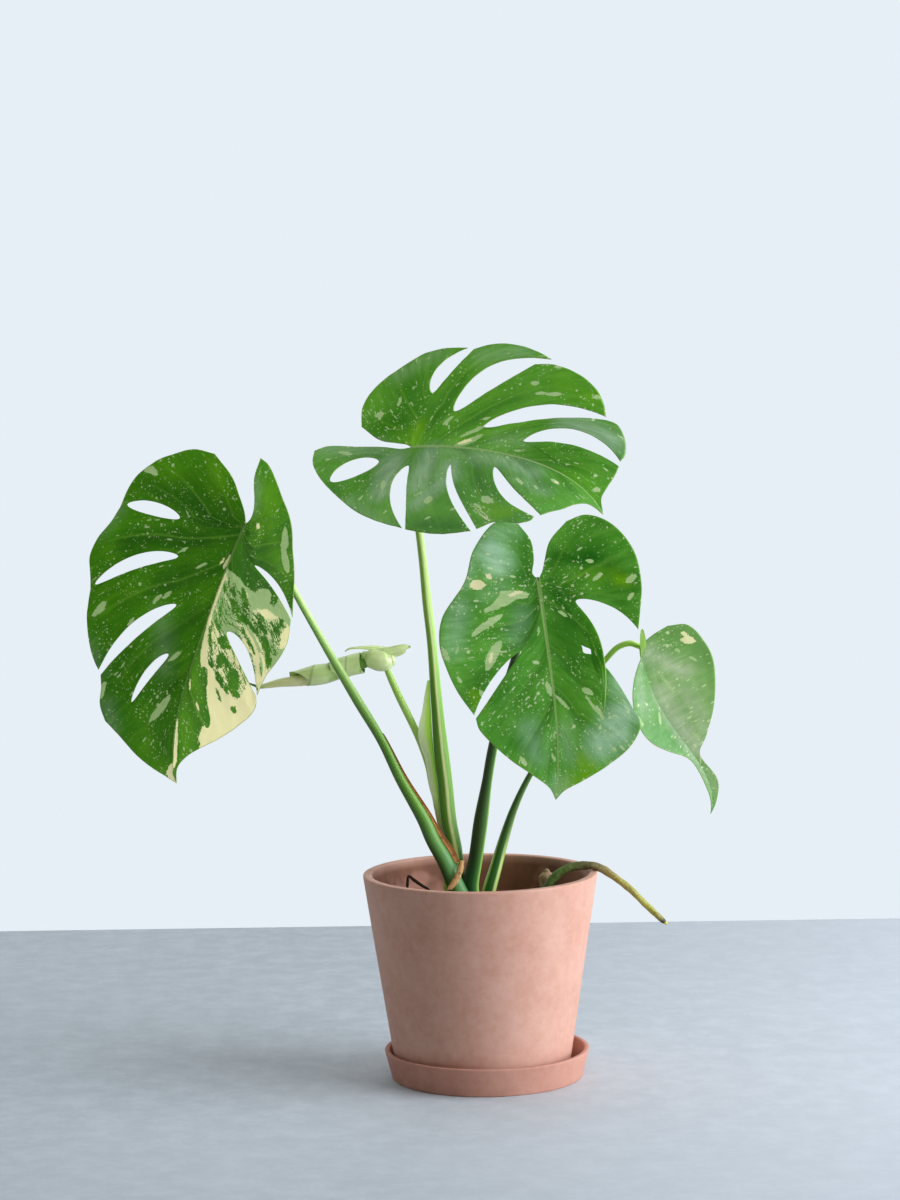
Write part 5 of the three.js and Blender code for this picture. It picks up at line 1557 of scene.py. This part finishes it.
# Stem: a short body of revolution that widens to its top, with leaf scars as crossing waves of its radius
def makeCrown():
    foot, top, radius, topRadius = (crown[key] for key in ("foot", "top", "radius", "topRadius"))
    profile = roundedProfile([
        (0, foot, 0),
        (radius, foot, 1),
        (radius, crown["waistHeight"], 3),
        (topRadius - 1, top - 4, 3),
        (topRadius - 4, top, 2),
        (0, top - 0.2, 0),
    ], spacing=2.0)

    def scars(r, z, angle):
        wave = np.sin(z * 1.3 + np.sin(angle * 2)) * np.sin(angle * 3 + z / 9)
        return np.where(r > 5, 0.7 * wave - 0.3, 0)

    corners, quads, _ = revolve(profile, crown["sides"], wobble=scars)
    corners += [crown["x"], crown["y"], 0]
    bark = barkFinish("stemBark", (48, 52, 26), (98, 82, 46), (150, 126, 84))
    piece = makePiece("stem_crown", corners, quads, [bark])
    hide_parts("crown")


makeCrown()

aerialRoot = {
    "line": [(51, 0, 110), (51, 0, 136), (55, 0, 157), (60, 0, 166), (67, 0, 173), (77, 0, 178.2), (88, 0, 179.4),
             (97, 0, 178.9), (104, 0, 176.2), (113, 0, 170), (126, -1, 160), (142, -2, 144), (154, -3, 132.5),
             (158, -3, 129)],
    "radius": [3.4, 3.5, 3.6, 3.7, 3.6, 3.6, 3.6, 3.6, 3.4, 3.1, 2.9, 2.7, 2.4, 1.1],
    "colours": [(0.0, (70, 96, 40)), (0.33, (92, 118, 48)), (0.45, (88, 84, 42)), (0.58, (112, 98, 52)),
                (0.7, (142, 128, 52)), (0.85, (164, 162, 66)), (0.925, (130, 120, 50)), (0.945, (50, 48, 24)),
                (0.972, (58, 56, 28)), (0.985, (178, 178, 64)), (1.0, (206, 198, 84))],
}
rootStub = {
    "line": [(57, 20, 115), (57, 20, 150), (57, 20, 161), (57, 20, 168), (57, 20, 171.5)],
    "radius": [4.6, 5.0, 6.0, 5.6, 2.5],
}
darkRoot = {
    "line": [(-62.5, 10, 120), (-62.5, 10, 150), (-62, 10, 165), (-60.9, 10, 170.6), (-56.5, 10, 167.4),
             (-50.5, 10, 162.8), (-44, 10, 158.5), (-41, 10, 145), (-41, 10, 120)],
    "radius": [1.2, 1.2, 1.2, 1.0, 1.3, 1.3, 1.2, 1.1, 1.1],
}


# Aerial root finish: a ramp of colours along the root, which wanders a little, brown spots, pale warts and rings
def rootFinish():
    f = Finish("aerialRootSkin")
    place = f.object()
    wander = f.times(f.minus(f.noise(place, 90.0), 0.5), 0.1)
    colour = f.ramp(f.plus(f.field("along"), wander), aerialRoot["colours"])
    warts = f.cells(place, 520.0)
    spots = f.between(f.noise(place, 240.0, 4.0, 0.6), 0.56, 0.68, 0.0, 0.55)
    colour = f.mix(spots, colour, (66, 58, 30))
    colour = f.mix(f.between(warts, 0.0, 0.2, 0.35, 0.0), colour, (178, 170, 110))
    rings = f.noise(f.map("stalk", (0.3, 30, 1)), 12.0, 2.0)
    normal = f.bump(f.plus(rings, f.times(warts, -0.5)), 0.0006, 0.8)
    f.surface({"Base Color": colour, "Roughness": 0.6, "Normal": normal})
    return f.material


# Root sections: waves of the radius round and along the tube
def knobbly(t, turn, run):
    return 1 + 0.05 * np.sin(run / 3.7 + 3 * np.sin(2 * np.pi * turn)) + 0.03 * np.sin(run / 1.6 + 9 * turn)


def uneven(t, turn, run):
    return 1 + 0.09 * np.sin(4 * np.pi * turn + run / 5) + 0.05 * np.sin(6 * np.pi * turn - run / 3)


def makeRoots():
    corners, quads, along, t = tube(aerialRoot["line"], aerialRoot["radius"], 28, 170, knobbly)
    piece = makePiece("root_aerial", corners, quads, [rootFinish()], maps={"stalk": along}, fields={"along": t})
    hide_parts("aerial_root")
    stubBark = barkFinish("rootStubBark", (110, 86, 62), (178, 146, 112), (214, 188, 156))
    corners, quads, along, _ = tube(rootStub["line"], rootStub["radius"], 28, 50, uneven)
    piece = makePiece("root_stub_knob", corners, quads, [stubBark], maps={"stalk": along})
    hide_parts("root_stub")
    darkBark = barkFinish("rootDarkBark", (34, 26, 18), (74, 58, 40), (160, 146, 112))
    corners, quads, along, _ = tube(darkRoot["line"], darkRoot["radius"], 16, 110, uneven)
    piece = makePiece("root_dark_loop", corners, quads, [darkBark], maps={"stalk": along})
    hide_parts("small_root")


makeRoots()
print("stem and roots made")


# The new leaf is wound round itself: a slim core from its thin tip to the neck, two loose turns of blade round
# the core, a fat head, two short folds at the far end and a thin curl above. Each is a tube of its own path,
# and a turn's ends slant because every line along the tube starts and ends at its own place. slant is how far the
# start lies in, at the middle and at the sides, and slantEnd how far the end does, with the turn of its middle.
rolledLeaf = {
    "name": "leaf_rolled", "node": "rolled_leaf",
    "thickness": 0.7,
    "core": {
        "line": [(-196.5, 20, 338), (-191, 20, 335.6), (-186, 20, 333.9), (-180, 20, 334.9), (-168, 20, 337.2),
                 (-155, 20, 338.4), (-144, 20, 339.4), (-134, 20, 341.7), (-123, 20, 346), (-112, 20, 349.5),
                 (-101, 20, 352.5), (-93, 20, 355.4), (-86, 20, 356.8)],
        "radius": [0.5, 1.0, 1.5, 2.4, 3.8, 4.6, 4.8, 5.2, 5.6, 5.8, 5.6, 5.4, 4.6],
        "colours": [(0.0, (54, 108, 24)), (0.07, (64, 120, 26)), (0.14, (76, 134, 34)), (0.17, (190, 216, 132)),
                    (0.26, (252, 250, 180)), (0.42, (255, 248, 190)), (0.52, (252, 248, 176)),
                    (0.62, (160, 196, 96)), (0.86, (110, 160, 50)), (0.92, (50, 100, 14)), (1.0, (50, 98, 14))],
    },
    "turns": [
        {"line": [(-160, 20, 340.4), (-148, 20, 341.8), (-138, 20, 343.2), (-129, 20, 344.4), (-117, 20, 347)],
         "radius": [5.4, 7.2, 8.5, 8.3, 6.6], "slant": (0.34, 0.32, 0.10), "slantEnd": (0.0, 0.02, 0.4)},
        {"line": [(-125, 20, 346.6), (-117, 20, 348.8), (-109, 20, 350.8), (-102, 20, 352.4), (-97, 20, 353.6)],
         "radius": [7.2, 8.6, 8.6, 8.8, 8.9], "slant": (0.0, 0.0, 0.3), "slantEnd": (0.12, 0.10, 0.55)},
    ],
    "head": {
        "line": [(-95.5, 20, 358.6), (-92.5, 20, 357.6), (-88, 20, 356.5), (-82, 20, 355.2), (-77, 20, 354.8),
                 (-72.5, 20, 355.8)],
        "radius": [5.0, 7.4, 8.8, 9.6, 8.8, 5.8],
    },
    "folds": [
        {"line": [(-86, 18, 360.5), (-79, 17, 362.6), (-72, 17, 364), (-66, 17, 365.4), (-60.5, 18, 366.4),
                  (-57.2, 19, 366.6)],
         "radius": [4.0, 3.8, 3.4, 3.3, 2.4, 1.0], "depth": 0.55},
        {"line": [(-84, 21, 357.6), (-77, 19, 358.8), (-70, 17.5, 360.2), (-64, 17, 361.8), (-61, 17, 362.8)],
         "radius": [3.4, 2.9, 2.3, 1.8, 0.8], "depth": 0.5},
        {"line": [(-79, 24, 364), (-88, 20, 365.8), (-97, 17, 366.6), (-104, 15, 366.6), (-109, 15, 365.8),
                  (-112, 16, 363.8)],
         "radius": [2.6, 2.2, 1.5, 1.0, 0.8, 0.5], "depth": 0.4},
    ],
}


# One turn of the blade: a sheet on the tube's rings, thinner than a millimetre, with slanted ends
def rolledTurn(part, sides=56, steps=60, samples=200):
    turn = np.linspace(0, 1, sides + 1)[None, :]
    share = np.linspace(0, 1, steps)[:, None]
    toBack = np.minimum(turn, 1 - turn)
    middle, reach, ramp = part["slant"]
    start = middle * (0.5 + 0.5 * np.cos(2 * np.pi * (turn - 0.62))) ** 1.5 + ramp * toBack * reach
    middle, reach, centre = part["slantEnd"]
    end = 1 - middle * (0.5 + 0.5 * np.cos(2 * np.pi * (turn - centre))) ** 2 - reach * toBack * 0.5
    place = start + (end - start) * share
    spots = place.ravel()
    line = np.column_stack([part["line"], part["radius"]])
    path, every = smoothLine(line, spots), np.linspace(0, 1, samples)
    _, across, beside = acrossPath(smoothLine(line, every)[:, :3])
    read = lambda values: unit(np.stack([np.interp(spots, every, values[:, k]) for k in range(3)], -1))
    angle = np.broadcast_to(2 * np.pi * turn, place.shape).ravel()
    crease = 1 + 0.03 * np.sin(3 * angle + 5 * spots) + 0.035 * bell(spots - 0.02, 0.05)
    out = (path[:, 3] * crease)[:, None]
    corners = path[:, :3] + out * (read(across) * np.cos(angle)[:, None] + read(beside) * np.sin(angle)[:, None])
    corners = corners.reshape(steps, sides + 1, 3)
    corners[:, -1] = corners[:, 0]
    return corners.reshape(-1, 3), gridQuads(steps, sides + 1), pairs(turn, place)


# Pale young blade: light yellow green, darker where the shade field says, with cream lines along it and a seam in
# each ninth of a turn
def youngFinish(name, pale, mid, dark, cream, thin=0.06, seams=9.0):
    f = Finish(name)
    lines = f.noise(f.map("stalk", (1, 0.1, 1)), 34.0, 3.0, 0.6)
    clouds = f.noise(f.object(), 70.0)
    colour = f.mix(f.between(clouds, 0.35, 0.65), mid, pale)
    colour = f.tint(colour, cream, lines, 0.5, 0.72, 0.5)
    colour = f.mix(f.field("shade"), colour, dark)
    seam = f.math("PINGPONG", f.times(f.axes(f.map("stalk"))[0], seams), 0.5)
    normal = f.bump(f.plus(lines, f.times(seam, 0.6)), 0.0005, 0.6)
    inputs = {"Base Color": colour, "Roughness": 0.24, "IOR": 1.5, "Coat Weight": 0.4, "Normal": normal}
    f.thinSurface(inputs, pale, thin)
    return f.material


# Core: a ramp of colours along it under pale lines
def coreFinish():
    f = Finish("rolledCore")
    lines = f.noise(f.map("stalk", (1, 0.1, 1)), 30.0, 3.0, 0.6)
    tone = f.ramp(f.field("along"), rolledLeaf["core"]["colours"])
    tone = f.tint(tone, (196, 224, 130), lines, 0.48, 0.72, 0.25)
    f.thinSurface({"Base Color": tone, "Roughness": 0.4, "Normal": f.bump(lines, 0.0006, 0.6)}, tone, 0.05)
    return f.material


# Soft band on the sides of a tube that face a turn, from nothing at the low cosine to full at 1
def facing(turn, centre, low):
    return smoothStep((np.cos(2 * np.pi * (turn - centre)) - low) / (1 - low))


# The parts of the rolled leaf are joined in one piece. Each goes in as corners, quads, its map, its place along
# itself, its shade and the number of its material
def makeRolledLeaf():
    green = youngFinish("rolledGreen", (242, 255, 186), (226, 254, 156), (96, 156, 34), (255, 255, 232))
    headGreen = youngFinish("rolledHead", (246, 255, 192), (234, 254, 170), (116, 174, 50), (255, 255, 232))
    core, head, folds = rolledLeaf["core"], rolledLeaf["head"], rolledLeaf["folds"]
    oval = lambda t, turn, run: 1 + 0.04 * np.sin(4 * np.pi * turn + run / 16)
    corners, quads, stalk, t = tube(core["line"], core["radius"], 30, 150, oval)
    groups = [(corners, quads, stalk, t, 0 * t, 0)]
    for index, part in enumerate(rolledLeaf["turns"]):
        sheet, quads, stalk = rolledTurn(part)
        solid, sides = thicken(sheet, quads, rolledLeaf["thickness"])
        twice = np.vstack([stalk, stalk])
        turn, t = twice[:, 0], twice[:, 1]
        spiral = bell(np.mod(turn + 2.2 * t + 0.1, 1) - 0.5, 0.06)
        shade = np.maximum(facing(turn, 0.84, 0.15) * 0.6, 0.5 * spiral)
        shade = np.maximum(shade, 0.75 * smoothStep((t - 0.72) / 0.25) * (index == 0))
        shade = np.maximum(shade, 0.9 * smoothStep((0.05 - t) / 0.05))
        groups.append((solid, np.vstack(sides), twice, t, shade, 1))
    lumpy = lambda t, turn, run: 1 + 0.03 * np.sin(6 * np.pi * turn + 4 * t)
    corners, quads, stalk, t = tube(head["line"], head["radius"], 36, 60, lumpy, caps=(0.9, 0.6))
    shade = 0.4 * smoothStep((0.12 - t) / 0.12) + 0.3 * facing(stalk[:, 0], 0.95, 0.5)
    groups.append((corners, quads, stalk, t, shade, 2))
    for index, part in enumerate(folds):
        thin = 1 - part["depth"]
        flatten = lambda t, turn, run: 1 - thin * np.abs(np.cos(2 * np.pi * turn)) - 0.12 * bell(turn - 0.5, 0.06)
        corners, quads, stalk, t = tube(part["line"], part["radius"], 24, 60, flatten)
        groups.append((corners, quads, stalk, t, 0.7 * smoothStep((t - 0.85) / 0.15) * (index == 0), 2))
    offsets = np.cumsum([0, *[len(group[0]) for group in groups[:-1]]])
    corners, stalk, t, shade = (np.concatenate([group[k] for group in groups]) for k in (0, 2, 3, 4))
    quads = np.vstack([group[1] + offset for group, offset in zip(groups, offsets)])
    kind = np.concatenate([np.full(len(group[1]), group[5]) for group in groups])
    materials = [coreFinish(), green, headGreen]
    fields = {"along": t, "shade": shade}
    piece = makePiece(rolledLeaf["name"], corners, quads, materials, {"stalk": stalk}, fields, kind)
    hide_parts(rolledLeaf["node"])


makeRolledLeaf()

# Thin sheath strips along a stalk: start and end count the stalk's points, seat is the side of the stalk they
# grow from, spread the direction they reach, reach their width from foot to tip
sheaths = [
    {
        "name": "sheath_wing", "node": "sheath_pale", "slot": "sheath_pale", "stalk": "stalk_top",
        "start": 2.5, "end": 6.35, "seat": (-1, -0.4), "spread": (-1, 0.12),
        "thickness": 0.8, "hollow": 1.3, "gap": 0.3,
        "reach": [1.5, 2.5, 3.2, 4.3, 5.5, 7, 7.2, 8, 10.5, 12, 10.5, 7.5, 5, 1.2],
    },
    {
        "name": "sheath_edge", "node": "sheath_dry", "slot": "sheath_dry", "stalk": "stalk_left",
        "start": 1.75, "end": 6.1, "seat": (0.88, -0.2), "spread": (0.88, 0),
        "thickness": 0.6, "hollow": 0.5, "gap": -0.1,
        "reach": [4, 4.6, 4.4, 3.8, 3.2, 2.7, 2.3, 2.0, 1.7, 1.3, 0.8, 0.3],
    },
]


# Sheet of a sheath: rows along the stalk, columns out from it along the spread, bowed by half a sine wave and
# frilled at its free edge
def sheathSheet(sheath, rows=130, columns=14):
    stalk = next(entry for entry in stalks if entry["name"] == sheath["stalk"])
    line = np.column_stack([stalk["line"], stalk["radius"]])
    t = np.linspace(0, 1, rows)
    place = (sheath["start"] + (sheath["end"] - sheath["start"]) * t) / (len(line) - 1)
    path = smoothLine(line, place)
    along = unit(smoothLine(line, place + 0.001)[:, :3] - smoothLine(line, place - 0.001)[:, :3])

    def across(direction):
        vector = np.array([*direction, 0.0])
        return unit(vector - along * (along @ vector)[:, None])

    reach = smoothLine(np.array(sheath["reach"], float)[:, None] * [1, 0, 0], t)[:, :1]
    foot = path[:, :3] + across(sheath["seat"]) * (path[:, 3:] + sheath["gap"] + sheath["thickness"] / 2)
    u = np.linspace(0, 1, columns)[None, :]
    spread = across(sheath["spread"])
    side = np.cross(along, spread)
    frill = 0.35 * bumps(np.stack([t * 40, 0 * t], -1), 5, 61)[:, None] * u**2 * (1 - t[:, None] * 0.5)
    bow = sheath["hollow"] * np.sin(np.pi * u * 0.9) + frill
    corners = foot[:, None] + spread[:, None] * (reach * u)[..., None] + side[:, None] * bow[..., None]
    return corners.reshape(-1, 3), gridQuads(rows, columns), pairs(u, t[:, None])


# Pale wing: bright yellow green beside the stalk, whitish and papery outside, in one set of colours for its lower
# part and one for its upper part
wingColours = {
    "papery": [(0.0, (190, 226, 110)), (0.3, (214, 236, 150)), (0.5, (236, 242, 206)), (1.0, (250, 250, 236))],
    "fresh": [(0.0, (196, 234, 104)), (0.4, (220, 244, 150)), (0.75, (246, 251, 222)), (1.0, (250, 252, 230))],
    "foot": (176, 168, 110),
}


def wingFinish():
    f = Finish("sheathWing")
    out, up = f.axes(f.map("stalk"))[:2]
    lines = f.noise(f.map("stalk", (1, 0.12, 1)), 24.0, 3.0, 0.6)
    across = f.plus(out, f.times(f.minus(lines, 0.5), 0.5))
    papery, fresh = f.ramp(across, wingColours["papery"]), f.ramp(across, wingColours["fresh"])
    colour = f.mix(f.between(up, 0.6, 0.82, smooth=True), papery, fresh)
    colour = f.tint(colour, wingColours["foot"], up, 0.3, 0.05)
    f.thinSurface({"Base Color": colour, "Roughness": 0.5, "Normal": f.bump(lines, 0.0004, 0.5)}, colour, 0.88)
    return f.material


# Dry edge and flake: brown and tan lines, darker at the free edge and at the tip, with dark spots
def dryFinish(name, brown, tan):
    f = Finish(name)
    out, up = f.axes(f.map("stalk"))[:2]
    lines = f.noise(f.map("stalk", (1, 0.1, 1)), 30.0, 4.0, 0.6)
    spots = f.noise(f.object(), 260.0)
    colour = f.mix(f.between(lines, 0.35, 0.65), brown, tan)
    colour = f.tint(colour, (110, 54, 20), out, 0.72, 0.95, 0.5)
    colour = f.tint(colour, (120, 76, 44), up, 0.7, 0.95)
    colour = f.tint(colour, (84, 44, 20), spots, 0.58, 0.66, 0.6)
    f.surface({"Base Color": colour, "Roughness": 0.75, "Normal": f.bump(lines, 0.0005, 0.7)})
    return f.material


# Dried flake that hangs from the dry edge's foot down in front of the stem
flake = {
    "line": [(-15.5, -14, 187.5), (-16.8, -16.5, 180.8), (-20, -18.2, 173.2), (-25, -19.5, 166.2),
             (-28, -19.5, 164)],
    "width": [1.8, 2.4, 2.7, 2.2, 0.6],
    "thickness": 0.6,
    "hollow": 0.9,
    "ragged": 0.15,
}


def flakeSheet(rows=60, columns=10):
    t = np.linspace(0, 1, rows)
    path = smoothLine(np.column_stack([flake["line"], flake["width"]]), t)
    along = unit(np.gradient(path[:, :3], axis=0))
    side = unit(np.cross(along, [0, -1.0, 0]))
    up = np.cross(side, along)
    u = np.linspace(-1, 1, columns)[None, :]
    ragged = 1 + flake["ragged"] * bumps(np.stack([t * 30, 0 * t], -1), 4, 71)[:, None]
    reach, rise = u * path[:, 3:] * ragged, flake["hollow"] * (1 - u**2)
    corners = path[:, None, :3] + side[:, None] * reach[..., None] + up[:, None] * rise[..., None]
    return corners.reshape(-1, 3), gridQuads(rows, columns), pairs((u + 1) / 2, t[:, None] * 0.6)


def thinPiece(name, sheet, thickness, material):
    corners, quads, stalk = sheet
    solid, sides = thicken(corners, quads, thickness)
    return makePiece(name, solid, np.vstack(sides), [material], {"stalk": np.vstack([stalk, stalk])})


def makeSheaths():
    finishes = {"sheath_pale": wingFinish(), "sheath_dry": dryFinish("sheathDry", (150, 88, 36), (222, 150, 82))}
    for sheath in sheaths:
        piece = thinPiece(sheath["name"], sheathSheet(sheath), sheath["thickness"], finishes[sheath["slot"]])
        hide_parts(sheath["node"])
    flakeSkin = dryFinish("flakeDry", (176, 128, 74), (232, 186, 124))
    piece = thinPiece("sheath_flake", flakeSheet(), flake["thickness"], flakeSkin)


makeSheaths()
print("rolled leaf and sheaths made")


stage = {
    "left": -3.2,
    "right": 3.2,
    "near": -4.2,
    "far": 0.692,
    "clouds": 1.6,
    "weave": 60.0,
    "weaveStretch": (1, 12, 1),
    "smudges": 34.0,
}


# Floor: one grey sheet up to the wall's foot, with clouds, a weave of lines and smudges, lighter to the right,
# painted light on the lamp's side, and darker towards the camera, painted shade
def makeStage():
    f = Finish("studioFloor")
    place = f.object()
    clouds = f.noise(place, stage["clouds"], 4.0)
    weave = f.noise(f.object(stage["weaveStretch"]), stage["weave"], 3.0, 0.6)
    smudges = f.noise(place, stage["smudges"], 6.0, 0.75)
    colour = f.mix(f.between(clouds, 0.35, 0.65), (172, 179, 183), (185, 192, 196))
    colour = f.tint(colour, (158, 165, 172), weave, 0.35, 0.7, 0.32)
    colour = f.tint(colour, (206, 212, 217), smudges, 0.42, 0.66, 0.45)
    # Painted light to the right and painted shade towards the camera
    x, y = f.axes(place)[:2]
    colour = f.tint(colour, (212, 218, 225), x, -0.1, 0.7, 0.7)
    colour = f.mix(f.between(y, -0.95, -0.05, 0.8, 0.0), colour, (150, 157, 163))
    f.surface({"Base Color": colour, "Roughness": 0.65, "Normal": f.bump(weave, 0.0004, 0.3)})
    left, right, near, far = (stage[key] for key in ("left", "right", "near", "far"))
    mesh = bpy.data.meshes.new("studio_floor")
    mesh.from_pydata([(left, near, 0), (right, near, 0), (right, far, 0), (left, far, 0)], [], [(0, 1, 2, 3)])
    mesh.materials.append(f.material)
    floor = addObject("studio_floor", mesh)


makeStage()

light = {
    "room": (0.12, 0.116, 0.108, 1),
    "wall": (231, 239, 246),
    "fadeFrom": -0.35,
    "fadeTo": 0.25,
}


# Light of the room by direction: the bright wall behind (+Y) fades to a dim room in front
def makeWorld():
    world = bpy.data.worlds.new("studio_world")
    bpy.context.scene.world = world
    room = Nodes(world, "OutputWorld")
    y = room.axes(room.add("TexCoord").outputs["Generated"])[1]
    colour = room.mix(room.between(y, light["fadeFrom"], light["fadeTo"]), light["room"], light["wall"])
    room.show(room.add("Background", {"Color": colour}))


# Lamps are rectangles of light, turned from their place to their target
lamps = [
    {"name": "window_right", "place": (2.25, -0.72, 1.05), "target": (0, 0, 0.3), "size": (2.3, 2.0), "power": 108,
     "colour": (0.95, 0.99, 1.08)},
    {"name": "fill_front", "place": (-0.3, -2.6, 1.9), "target": (0, 0, 0.35), "size": (1.4, 1.4), "power": 7,
     "colour": (1.0, 0.97, 0.9)},
]


def makeLamp(lamp):
    data = bpy.data.lights.new(lamp["name"], "AREA")
    data.shape = "RECTANGLE"
    data.size, data.size_y = lamp["size"]
    data.energy = lamp["power"]
    data.color = lamp["colour"]
    holder = addObject(lamp["name"], data)
    holder.location = lamp["place"]
    aim = Vector(lamp["target"]) - Vector(lamp["place"])
    holder.rotation_euler = aim.to_track_quat("-Z", "Y").to_euler()


makeWorld()
for lamp in lamps:
    makeLamp(lamp)

# Place in metres, turns in radians, lens and sensor in millimetres
camera = {
    "place": (-0.0223, -2.6642, 0.63076),
    "pitch": 0.08357,
    "roll": 0.01431,
    "lens": 95.0,
    "sensor": 36.0,
    "farEnd": 50.0,
}


def makeCamera():
    data = bpy.data.cameras.new("photo_camera")
    data.lens = camera["lens"]
    data.sensor_fit = "AUTO"
    data.sensor_width = camera["sensor"]
    data.clip_end = camera["farEnd"]
    holder = addObject("photo_camera", data)
    turn = Matrix.Rotation(math.pi / 2 - camera["pitch"], 4, "X") @ Matrix.Rotation(-camera["roll"], 4, "Z")
    holder.matrix_world = Matrix.Translation(camera["place"]) @ turn
    bpy.context.scene.camera = holder


makeCamera()
bpy.context.scene.view_settings.view_transform = "Standard"
print("stage, lights and camera made")
